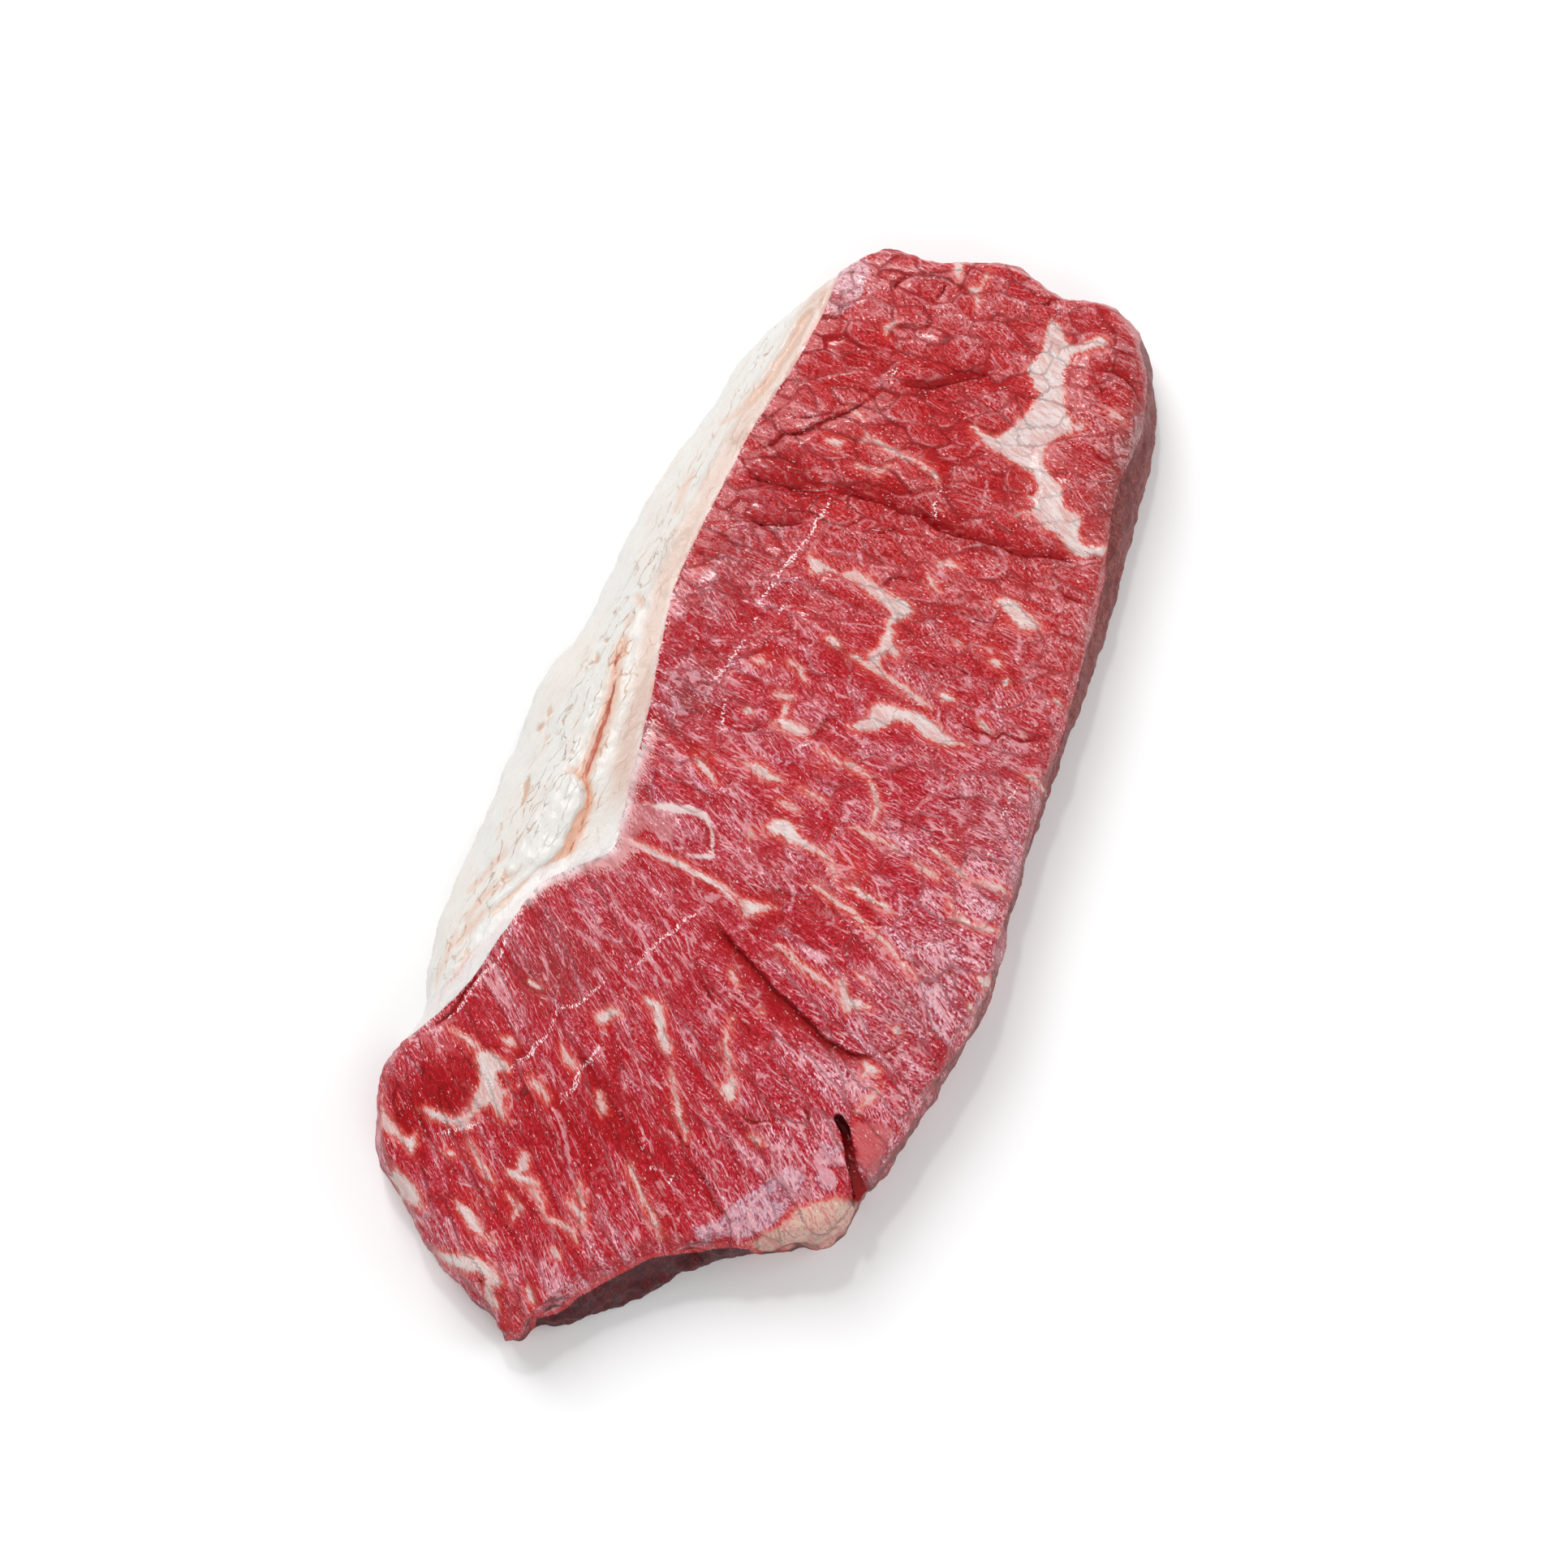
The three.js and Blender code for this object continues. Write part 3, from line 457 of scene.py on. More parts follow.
def nearStroke(flat, line, reach):
    line = np.array(line, float)
    low = line.min(axis=0) - reach
    high = line.max(axis=0) + reach
    return np.flatnonzero(np.all((flat > low) & (flat < high), axis=1)), line


# Distance to a line, the share of its length reached there, and the side (left is positive).
def alongLine(flat, line):
    steps = np.linalg.norm(np.diff(line, axis=0), axis=1)
    whole = steps.sum()
    best = np.full(len(flat), 1e9)
    share = np.zeros(len(flat))
    side = np.ones(len(flat))
    run = 0.0
    for start, end, length in zip(line[:-1], line[1:], steps):
        way = (end - start) / length
        offset = flat - start
        along = np.clip(offset @ way, 0, length)
        gap = np.linalg.norm(offset - along[:, None] * way, axis=1)
        closer = gap < best
        best = np.where(closer, gap, best)
        share = np.where(closer, (run + along) / whole, share)
        side = np.where(closer, np.sign(way[0] * offset[:, 1] - way[1] * offset[:, 0]), side)
        run += length
    return best, share, side, whole


# A stroke's width runs out towards its ends.
def taper(share, whole, run=3.0):
    end = np.minimum(share, 1 - share) * whole
    return np.sqrt(np.clip(end / min(run, whole / 2), 0, 1))


# How deep a point lies inside the strokes: positive inside, negative outside.
def strokeField(flat, strokes, reach=6.0):
    field = np.full(len(flat), -reach)
    for halfWidth, line in strokes:
        near, line = nearStroke(flat, line, reach)
        gap, share, _, whole = alongLine(flat[near], line)
        inside = halfWidth * (0.25 + 0.75 * taper(share, whole)) - gap
        field[near] = np.maximum(field[near], inside)
    return field


def patchField(flat, outlines, reach=6.0):
    field = np.full(len(flat), -reach)
    for outline in outlines:
        near, line = nearStroke(flat, outline + outline[:1], reach)
        spots = flat[near]
        gap = alongLine(spots, line)[0]
        inside = np.zeros(len(spots), bool)
        for start, end in zip(line[:-1], line[1:]):
            between = (start[1] > spots[:, 1]) != (end[1] > spots[:, 1])
            rise = end[1] - start[1] if end[1] != start[1] else 1e-9
            crossing = start[0] + (spots[:, 1] - start[1]) * (end[0] - start[0]) / rise
            inside ^= between & (spots[:, 0] < crossing)
        field[near] = np.maximum(field[near], np.where(inside, gap, -gap))
    return field


# Depth, darkness, shaded slope and raised lip of the creases at every point.
def creaseRelief(flat):
    depth = np.zeros(len(flat))
    dark = np.full(len(flat), -6.0)
    valley = np.zeros(len(flat))
    lip = np.zeros(len(flat))
    for group in creases.values():
        for line in group["lines"]:
            near, line = nearStroke(flat, line, 8.0)
            gap, share, side, whole = alongLine(flat[near], line)
            ends = taper(share, whole, 5.0)
            width = np.where(side > 0, group["left"], group["right"])
            hollow = group["depth"] * ends * np.exp(-((gap / width) ** 1.4))
            depth[near] = np.maximum(depth[near], hollow)
            dark[near] = np.maximum(dark[near], group["dark"] * (2 * ends - 1) - gap)
            slope = ends * np.exp(-gap / np.where(side > 0, 0.7 * group["left"], 0.25))
            valley[near] = np.maximum(valley[near], slope * min(1.0, group["left"] / 2.0))
            crest = ends * np.exp(-(((gap - 1.3 * group["right"]) / group["right"]) ** 2)) * (side < 0)
            lip[near] = np.maximum(lip[near], crest * group["depth"])
    return depth, dark, valley, lip


def spotSum(flat, spots):
    total = np.zeros(len(flat))
    for x, y, radiusX, radiusY, amount in spots:
        total += amount * np.exp(-((flat[:, 0] - x) / radiusX) ** 2 - ((flat[:, 1] - y) / radiusY) ** 2)
    return total


# Places shifted a little at random, so that no stroke or outline runs straight.
def waver(points):
    shift = np.stack([lumps(points, 5.0, 11.0) * 0.6 + lumps(points, 1.7, 3.0) * 0.3,
                      lumps(points, 5.0, 41.0) * 0.6 + lumps(points, 1.7, 31.0) * 0.3], axis=1)
    return points[:, :2] + shift


# Millimetres into the fat from the line between fat and lean; negative in the lean.
def fatDepth(flat):
    outline = [(-90, fatLine[0][1])] + fatLine + [(-90, fatLine[-1][1])]
    return patchField(flat, [outline], 60.0)


def hashOf(cells, key):
    return np.mod(np.sin(cells @ np.array([12.9898, 78.233, 37.719]) + key) * 43758.5453, 1.0)


# Level, furrow and random number of the plate that each point belongs to.
def plateRelief(grain):
    size = np.array(plates["size"])
    warp = np.stack([lumps(grain, 7.0, 5.0), lumps(grain, 7.0, 25.0), lumps(grain, 7.0, 45.0)], axis=1)
    stretch = smoothStep(*plates["longFrom"], grain[:, 1])[:, None]
    size = size + stretch * (plates["longSize"] - size[0]) * np.array([1, 0, 0])
    places = (grain + plates["warp"] * warp) / size
    found = [noise.voronoi(place) for place in places.tolist()]
    gaps = np.array([item[0][:2] for item in found])
    cells = np.array([item[1][0] for item in found])
    offset = places - cells
    level = hashOf(cells, 0.3) - 0.5
    lean = (hashOf(cells, 1.7)[:, None] - 0.5, hashOf(cells, 2.9)[:, None] - 0.5)
    tilt = (lean[0] * offset[:, :1] + lean[1] * offset[:, 1:2])[:, 0]
    edge = gaps[:, 1] - gaps[:, 0]
    furrow = 1 - smoothStep(0, plates["gapWidth"], edge)
    return level, tilt, furrow, hashOf(cells, 4.1), edge


def deselectAll():
    for thing in bpy.context.view_layer.objects:
        thing.select_set(False)


def makeActive(piece):
    deselectAll()
    piece.select_set(True)
    bpy.context.view_layer.objects.active = piece


def applyModifier(piece, kind, **settings):
    makeActive(piece)
    modifier = piece.modifiers.new(kind.title(), kind)
    for name, value in settings.items():
        setattr(modifier, name, value)
    bpy.ops.object.modifier_apply(modifier=modifier.name)


def pointsOf(piece):
    places = np.empty(len(piece.data.vertices) * 3, np.float32)
    piece.data.vertices.foreach_get("co", places)
    return places.reshape(-1, 3).astype(float) / mm


def normalsOf(piece):
    normals = np.empty(len(piece.data.vertices) * 3, np.float32)
    piece.data.vertex_normals.foreach_get("vector", normals)
    return normals.reshape(-1, 3).astype(float)


def setPoints(piece, points):
    piece.data.vertices.foreach_set("co", (points * mm).astype(np.float32).ravel())
    piece.data.update()


def setValues(piece, name, values):
    piece.data.attributes.new(name, "FLOAT", "POINT").data.foreach_set("value", values.astype(np.float32))


def setVectors(piece, name, vectors):
    piece.data.attributes.new(name, "FLOAT_VECTOR", "POINT").data.foreach_set(
        "vector", vectors.astype(np.float32).ravel())


def thin(piece, weights, share):
    group = piece.vertex_groups.new(name="thin")
    whole = np.flatnonzero(weights > 0.5)
    group.add(whole.tolist(), 1.0, "REPLACE")
    faces = len(piece.data.polygons)
    corners = np.empty(len(piece.data.loops), np.int32)
    piece.data.loops.foreach_get("vertex_index", corners)
    starts = np.empty(faces, np.int32)
    piece.data.polygons.foreach_get("loop_start", starts)
    inside = np.mean(np.add.reduceat(weights[corners] > 0.5, starts) > 0)
    applyModifier(piece, "DECIMATE", vertex_group="thin", vertex_group_factor=1.0,
                  ratio=float(1 - inside * (1 - share)))
    piece.vertex_groups.clear()


# One closed skin round both solids, so that lean and fat meet without a step.
def makeSlice():
    halves = []
    for name in ("lean_meat", "fat_cap"):
        half = bpy.data.objects.new(name + "Copy", frame["nodes"][name].data.copy())
        bpy.context.collection.objects.link(half)
        makeActive(half)
        bpy.ops.object.mode_set(mode="EDIT")
        bpy.ops.mesh.select_all(action="SELECT")
        bpy.ops.mesh.remove_doubles(threshold=0.00001)
        bpy.ops.object.mode_set(mode="OBJECT")
        halves.append(half)
    deselectAll()
    for half in halves:
        half.select_set(True)
    bpy.context.view_layer.objects.active = halves[0]
    bpy.ops.object.join()
    whole = halves[0]
    whole.name = "wholeSlice"
    whole.data.materials.clear()
    swell = sliceSkin["closeGap"] * mm
    applyModifier(whole, "DISPLACE", strength=swell, mid_level=0.0)
    applyModifier(whole, "REMESH", mode="VOXEL", voxel_size=sliceSkin["grid"] * mm)
    applyModifier(whole, "DISPLACE", strength=-swell, mid_level=0.0)
    applyModifier(whole, "SMOOTH", factor=sliceSkin["smoothPull"], iterations=sliceSkin["smoothRounds"])
    return whole


# Heights of the relief in millimetres, and the sizes of the lumps that make it: across, along and in depth.
relief = {
    "fibre": 0.1,
    "fibreSize": (9.0, 1.7, 9.0),  # along the fibres, across them, in depth
    "broad": 0.35,
    "broadSize": (24.0, 16.0, 24.0),
    "seam": 0.22,
    "seamFoot": 0.12,  # dip beside a seam
    "skin": 0.35,
    "foldLip": 0.6,
    "rimLip": 0.5,  # sharpens the upper edge on the right and at the narrow end
    "knob": 0.35,
    "knobPlace": (55.5, -27),
    "knobReach": 1.7,
    "remnant": 0.5,
    "innerWrinkle": 0.1,
    "outerWrinkle": 0.36,
    "wrinkleSize": (2.6, 6.0, 3.6),
    "fatSwell": 0.2,
    "lobe": 0.8,
    "groove": 0.7,
    "fatFold": 0.45,
    "pit": 0.6,
    "streak": 0.28,
    "streakSize": (2.2, 2.2, 9.0),
    "chunk": 0.5,
    "tornChunk": 1.2,  # added at the narrow end's torn wall
    "chunkSize": (7.0, 7.0, 6.0),
    "underside": 0.5,
    "slitFloor": 17.2,
}


# Plates, fibres, creases and seams: the plain height, and the one with everything that stands on the top.
def leanRelief(points, flat, lean):
    grain = grainOf(points)
    level, tilt, furrow, _, _ = plateRelief(grain)
    calm = smoothStep(18, 42, points[:, 0])  # the right side is smoother
    seams = np.maximum(patchField(flat, fatPatches), strokeField(flat, fatStreaks))
    skin = np.maximum(patchField(flat, skinPatches), strokeField(flat, skinEdges))
    bare = smoothStep(0.2, -1.0, np.maximum(seams, skin))
    rough = (1 - 0.6 * calm) * lean * bare
    fibre = layeredLumps(grain, relief["fibreSize"], 2.0, 2)
    broad = layeredLumps(points, relief["broadSize"], 60.0, 2)
    furrow = furrow * smoothStep(-0.1, 0.35, lumps(points, 9.0, 61.0))
    height = rough * (plates["step"] * level + plates["tilt"] * tilt - plates["gap"] * furrow)
    height += lean * (relief["fibre"] * fibre * (0.4 + 0.6 * bare) + relief["broad"] * broad)
    depth, _, _, lip = creaseRelief(flat)
    raised = relief["seam"] * smoothStep(-0.5, 0.7, seams)
    raised = raised - relief["seamFoot"] * smoothStep(-1.6, -0.4, seams)
    raised += relief["skin"] * smoothStep(-0.8, 0.6, skin)
    top = height + (relief["foldLip"] * lip - depth) * lean + lean * raised
    knobX, knobY = relief["knobPlace"]
    fromKnob = np.hypot(points[:, 0] - knobX, points[:, 1] - knobY)
    top += relief["knob"] * smoothStep(0, 1.2, relief["knobReach"] - fromKnob)
    top += relief["remnant"] * smoothStep(-0.3, 3.2, patchField(flat, fatPatches[-1:]))
    rim = patchField(points[:, :2], rimPatches)
    top += relief["rimLip"] * np.exp(-((rim + 0.7) / 0.9) ** 2) * lean
    return height, top


# Wrinkles, swell, lobes, grooves, folds and pits of the fat.
def fatRelief(points, flat, intoFat):
    away = smoothStep(3.0, 8.0, intoFat)
    wrinkles = layeredLumps(points, relief["wrinkleSize"], 17.0, 3)
    height = (relief["innerWrinkle"] + relief["outerWrinkle"] * away) * wrinkles
    height = height + relief["fatSwell"] * layeredLumps(points, 13.0, 90.0, 2)
    lobes = patchField(flat, fatMarks["lobes"])
    grooves, folds, pits = (strokeField(flat, fatMarks[name]) for name in ("grooves", "folds", "pits"))
    height += relief["lobe"] * smoothStep(-0.4, 0.9, lobes) * smoothStep(-45, -40, points[:, 0])
    hollow = relief["groove"] * smoothStep(-1.0, 0.4, grooves)
    height -= hollow + relief["fatFold"] * smoothStep(-1.2, 0.4, folds)
    height -= relief["pit"] * smoothStep(-0.7, 0.3, pits)
    return wrinkles, height


# How far the lean's ragged walls stand out.
def wallRelief(points):
    streak = layeredLumps(points, relief["streakSize"], 130.0, 2)
    chunk = layeredLumps(points, relief["chunkSize"], 150.0, 2)
    torn = smoothStep(-70, -90, points[:, 1]) * smoothStep(-22, -8, points[:, 0])
    return relief["streak"] * streak + (relief["chunk"] + relief["tornChunk"] * torn) * chunk


# The torn slit is deep at its upper end only, so its floor is raised elsewhere.
def raiseSlit(points):
    torn = smoothStep(-0.5, 0.2, patchField(points[:, :2], [slitPocket])) * (points[:, 2] > 5)
    squeeze = 0.72 + 0.2 * smoothStep(-58, -63, points[:, 1])
    floor = relief["slitFloor"] + smoothStep(-57, -63, points[:, 1])
    points[:, 2] += torn * squeeze * np.clip(floor - points[:, 2], 0, None)


# Pushes the whole skin in and out, then thins it where it is plain.
def shapeSlice(whole):
    points = pointsOf(whole)
    normals = normalsOf(whole)
    up = smoothStep(0.3, 0.8, normals[:, 2])
    down = smoothStep(0.3, 0.8, -normals[:, 2])
    side = 1 - up - down
    flat = waver(points)
    intoFat = fatDepth(flat)
    lean = smoothStep(0.4, -0.4, intoFat)
    fat = 1 - lean
    height, topHeight = leanRelief(points, flat, lean)
    wrinkles, fatHeight = fatRelief(points, flat, intoFat)
    wallHeight = lean * wallRelief(points) + fat * fatHeight
    sideways = normals * (1, 1, 0)
    points += sideways * (wallHeight * side)[:, None]
    points[:, 2] += up * (topHeight + fat * fatHeight)
    below = relief["underside"] * np.clip(-height + 0.3 * fat * wrinkles, -0.5, 1.0)
    points[:, 2] += down * (0.25 + below)
    raiseSlit(points)
    points[:, 2] = np.clip(points[:, 2], sliceSkin["lowest"], sliceSkin["highest"])
    setPoints(whole, points)
    print("relief on", len(points), "points")
    thin(whole, down * (points[:, 2] < 2.5), sliceSkin["undersideShare"])
    normals = normalsOf(whole)
    points = pointsOf(whole)
    wall = (np.abs(normals[:, 2]) < 0.6) & (points[:, 2] < 19)
    thin(whole, wall.astype(float), sliceSkin["wallShare"])
    print("thinned to", len(whole.data.polygons), "faces")


# The fat line as a smooth run of points, a little unsteady as a muscle's edge is.
def knifeLine():
    line = np.array(fatLine, float)
    run = np.concatenate([[0], np.cumsum(np.linalg.norm(np.diff(line, axis=0), axis=1))])
    count = int(run[-1] / knifeCut["step"])
    padded = np.vstack([2 * line[0] - line[1], line, 2 * line[-1] - line[-2]])
    places = []
    for step in np.linspace(0, run[-1], count):
        index = min(int(np.searchsorted(run, step, side="right")) - 1, len(line) - 2)
        t = (step - run[index]) / (run[index + 1] - run[index])
        a, b, c, d = padded[index:index + 4]
        place = 0.5 * (2 * b + (c - a) * t + (2 * a - 5 * b + 4 * c - d) * t ** 2
                       + (3 * b - a - 3 * c + d) * t ** 3)
        size = knifeCut["waverSize"]
        spot = Vector((place[0] / size, place[1] / size, 0.0))
        place[0] += knifeCut["waver"] * noise.noise(spot)
        places.append(tuple(place))
    return places


def makeKnife():
    reach = knifeCut["reach"]
    outline = [(-reach, fatLine[0][1])] + knifeLine() + [(-reach, fatLine[-1][1])]
    count = len(outline)
    levels = (knifeCut["foot"], knifeCut["top"])
    corners = [(x * mm, y * mm, level * mm) for level in levels for x, y in outline]
    faces = [tuple(range(count)), tuple(range(2 * count - 1, count - 1, -1))]
    faces += [(i, i + count, (i + 1) % count + count, (i + 1) % count) for i in range(count)]
    mesh = bpy.data.meshes.new("knife")
    mesh.from_pydata(corners, [], faces)
    knife = bpy.data.objects.new("knife", mesh)
    bpy.context.collection.objects.link(knife)
    makeActive(knife)
    bpy.ops.object.mode_set(mode="EDIT")
    bpy.ops.mesh.select_all(action="SELECT")
    bpy.ops.mesh.normals_make_consistent(inside=False)
    bpy.ops.object.mode_set(mode="OBJECT")
    return knife


def cutSlice(whole):
    knife = makeKnife()
    lean = whole
    fat = whole.copy()
    fat.data = whole.data.copy()
    bpy.context.collection.objects.link(fat)
    lean.name = "leanMeat"
    fat.name = "fatCap"
    applyModifier(lean, "BOOLEAN", operation="DIFFERENCE", solver="MANIFOLD", object=knife)
    applyModifier(fat, "BOOLEAN", operation="INTERSECT", solver="MANIFOLD", object=knife)
    bpy.data.objects.remove(knife)
    for piece in (lean, fat):
        makeActive(piece)
        bpy.ops.object.shade_smooth_by_angle(angle=math.radians(sliceSkin["creaseAngle"]))
        print(piece.name, len(piece.data.vertices), "points",
              sum(len(face.vertices) - 2 for face in piece.data.polygons), "triangles")
    return lean, fat


# Values that the materials read, kept at every point of a piece.
def markPiece(piece):
    points = pointsOf(piece)
    normals = normalsOf(piece)
    flat = waver(points)
    grain = grainOf(points)
    _, tilt, furrow, number, edge = plateRelief(grain)
    seams = np.maximum(patchField(flat, fatPatches), strokeField(flat, fatStreaks))
    _, dark, valley, _ = creaseRelief(flat)
    sheet = smoothStep(-0.5, 0.5, patchField(flat, filmPatches))
    tornWall = smoothStep(-78, -88, points[:, 1]) * smoothStep(-16, -8, points[:, 0])
    marks = {
        "marbling": seams,
        "sinew": strokeField(flat, sinews),
        "crease": dark,
        "valley": valley,
        "glint": strokeField(flat, [(0.5, line) for line in glintRuns]),
        "film": spotSum(flat, filmSpots) + 1.4 * sheet,
        "sheet": sheet,
        "skin": patchField(flat, skinPatches),
        "skinEdge": strokeField(flat, skinEdges),
        "fringe": patchField(flat, fringePatches),
        "rim": patchField(flat * 0.35 + points[:, :2] * 0.65, rimPatches),
        "slit": patchField(points[:, :2], [slitPocket]),
        "flap": patchField(flat, [flapPatch]),
        "tone": spotSum(flat, toneSpots),
        "glow": spotSum(flat, glowSpots),
        "dun": spotSum(flat, dunSpots),
        "plate": number,
        # the plates' tilt, which paints light on one side of each plate and shade on the other
        "shade": tilt,
        "edge": edge,
        "furrow": furrow * smoothStep(0.2, -1.0, seams),
        "intoFat": fatDepth(flat),
        "wall": 1 - smoothStep(0.1, 0.5, np.abs(normals[:, 2])),
        "brown": np.maximum(tornWall, smoothStep(-12, 14, points[:, 0] + 0.1 * points[:, 1])),
        "groove": strokeField(flat, fatMarks["grooves"]),
        "peachShade": strokeField(flat, fatMarks["folds"]),
        "pit": strokeField(flat, fatMarks["pits"]),
        "lobe": patchField(flat, fatMarks["lobes"]),
    }
    setVectors(piece, "grain", grain)
    for name, values in marks.items():
        setValues(piece, name, values)


# A node graph written as sums: every function gives back an output socket.
class Graph:
    def __init__(self, name):
        self.material = bpy.data.materials.new(name)
        self.material.use_nodes = True
        self.tree = self.material.node_tree
        self.tree.nodes.clear()

    def node(self, kind, values=(), **settings):
        made = self.tree.nodes.new(kind)
        for name, value in settings.items():
            setattr(made, name, value)
        for name, value in dict(values).items():
            if isinstance(value, bpy.types.NodeSocket):
                self.tree.links.new(value, made.inputs[name])
            else:
                made.inputs[name].default_value = value
        return made

    def math(self, operation, *values):
        return self.node("ShaderNodeMath", dict(enumerate(values)), operation=operation).outputs[0]

    def add(self, a, b):
        return self.math("ADD", a, b)

    def times(self, a, b):
        return self.math("MULTIPLY", a, b)

    def most(self, a, b):
        return self.math("MAXIMUM", a, b)

    # 1 - a * share
    def without(self, a, share):
        return self.math("SUBTRACT", 1.0, self.times(a, share))

    # a * share + b
    def plus(self, a, share, b):
        return self.math("MULTIPLY_ADD", a, share, b)

    def step(self, value, low, high):
        ranged = self.node("ShaderNodeMapRange", {"Value": value, "From Min": low, "From Max": high},
                           interpolation_type="SMOOTHSTEP")
        return ranged.outputs["Result"]

    def mix(self, share, a, b, blend="MIX"):
        # sockets 6, 7 and 2 are the node's colours
        mixed = self.node("ShaderNodeMix", {0: share, 6: a, 7: b}, data_type="RGBA", blend_type=blend)
        return mixed.outputs[2]

    # a coat of one colour over what is there
    def lay(self, colour, share, shade):
        return self.mix(share, colour, paint(shade))

    def value(self, name):
        return self.node("ShaderNodeAttribute", attribute_name=name).outputs["Fac"]

    def vector(self, name):
        return self.node("ShaderNodeAttribute", attribute_name=name).outputs["Vector"]

    def millimetres(self):
        place = self.node("ShaderNodeTexCoord").outputs["Object"]
        made = self.node("ShaderNodeVectorMath", {0: place, "Scale": 1 / mm}, operation="SCALE")
        return made.outputs["Vector"]

    def parts(self, vector):
        return self.node("ShaderNodeSeparateXYZ", {"Vector": vector}).outputs

    def scaled(self, vector, sizes, place=(0, 0, 0)):
        return self.node("ShaderNodeMapping", {"Vector": vector, "Scale": [1 / size for size in sizes],
                                               "Location": place}).outputs["Vector"]

    # total plus the value's swing round its middle
    def swing(self, value, share, total):
        return self.plus(value, share, self.add(total, -0.5 * share))

    def warped(self, vector, noiseVector, reach):
        shift = self.node("ShaderNodeTexNoise", {"Vector": noiseVector, "Scale": 1.0}).outputs["Color"]
        return self.node("ShaderNodeVectorMath", {0: shift, 1: reach, 2: vector},
                         operation="MULTIPLY_ADD").outputs["Vector"]

    def cells(self, vector, feature):
        return self.node("ShaderNodeTexVoronoi", {"Vector": vector, "Scale": 1.0}, feature=feature).outputs

    def clouds(self, vector, detail, roughness, distortion):
        made = self.node("ShaderNodeTexNoise", {"Vector": vector, "Scale": 1.0, "Detail": detail,
                                                "Roughness": roughness, "Distortion": distortion})
        return made.outputs["Fac"]

    # every pattern of a table, by its name
    def patterns(self, table, **spaces):
        made = {}
        for name, (space, sizes, place, detail, roughness, distortion) in table.items():
            made[name] = self.clouds(self.scaled(spaces[space], sizes, place), detail, roughness, distortion)
        return SimpleNamespace(**made, **spaces)

    def ramp(self, value, stops):
        made = self.node("ShaderNodeValToRGB", {"Fac": value})
        marks = made.color_ramp.elements
        for place, colour in stops[2:]:
            marks.new(place)
        for mark, (place, colour) in zip(marks, sorted(stops)):
            mark.position = place
            mark.color = paint(colour)
        return made.outputs["Color"]

    def finish(self, values, height):
        bump = self.node("ShaderNodeBump", {"Height": height, "Distance": mm, "Strength": 1.0})
        shader = self.node("ShaderNodeBsdfPrincipled", dict(values, Normal=bump.outputs["Normal"]))
        self.tree.links.new(shader.outputs["BSDF"], self.node("ShaderNodeOutputMaterial").inputs["Surface"])
        return self.material


# A colour given as 0 to 255 on the screen.
def paint(colour):
    return tuple(((c / 255 + 0.055) / 1.055) ** 2.4 if c > 10.3 else c / 255 / 12.92 for c in colour) + (1.0,)


leanLook = {
    # from the deepest fibres to the frosted ones, whose paleness is partly painted wet sheen: towards the
    # broad end, and towards the narrow end
    "broad": [(0.0, (155, 4, 8)), (0.28, (176, 26, 31)), (0.5, (180, 52, 55)), (0.75, (187, 93, 96)),
              (1.0, (222, 178, 181))],
    "narrow": [(0.0, (158, 4, 14)), (0.28, (175, 22, 36)), (0.5, (178, 48, 61)), (0.75, (183, 90, 107)),
               (1.0, (217, 180, 195))],
    # wet films, whose lavender is partly painted sheen of the light on the wet surface
    "sheenVeil": (160, 98, 113),
    "filmDeep": (164, 87, 106),
    "filmPale": (197, 170, 185),
    "filmPink": (220, 190, 192),
    "dun": (118, 66, 62),
    # pale threads, also the painted glints and lit edges of bundles and plates
    "threadAndHighlight": (230, 176, 182),
    "fat": (224, 207, 204),
    "fatPink": (216, 158, 152),
    "fatEdge": (212, 104, 94),
    "tan": (205, 174, 158),
    "glow": (206, 50, 34),
    "sinew": (220, 160, 168),
    # painted shade down the sloping sides of creases and in the furrows, and the painted dark line at the
    # bottom of creases
    "valley": (156, 5, 12),
    "crease": (120, 0, 2),
    "wallDark": (40, 0, 4),
    "wallRed": (98, 6, 14),
    "wallBrown": (96, 22, 22),
    "wallPale": (146, 74, 68),
    "rimRed": (196, 24, 24),
    "flap": (196, 98, 100),
    "torn": (128, 14, 15),
    "skin": (202, 146, 147),
    # painted highlights of the wet glints
    "paintedGlint": (255, 232, 236),
    "membrane": (218, 160, 160),
    "fuzz": (232, 216, 216),
}


# How much of what lies under it each coat of the lean covers.
leanShare = {
    "sheenVeil": 0.5,
    "dun": 0.5,
    "halo": 0.45,
    "glow": 0.8,
    "fleck": 0.6,
    "rim": 0.6,
    "lip": 0.65,
    "sinew": 0.7,
    "fatEdge": 0.7,
    "blush": 0.7,
    "remnantBlush": 0.6,
    "veins": 0.55,
    "skinEdge": 0.85,
    "fringe": 0.85,
    "valley": 0.88,
    "crease": 0.9,
    "furrow": 0.65,
    "wall": 0.95,
    "rimRed": 0.7,
}

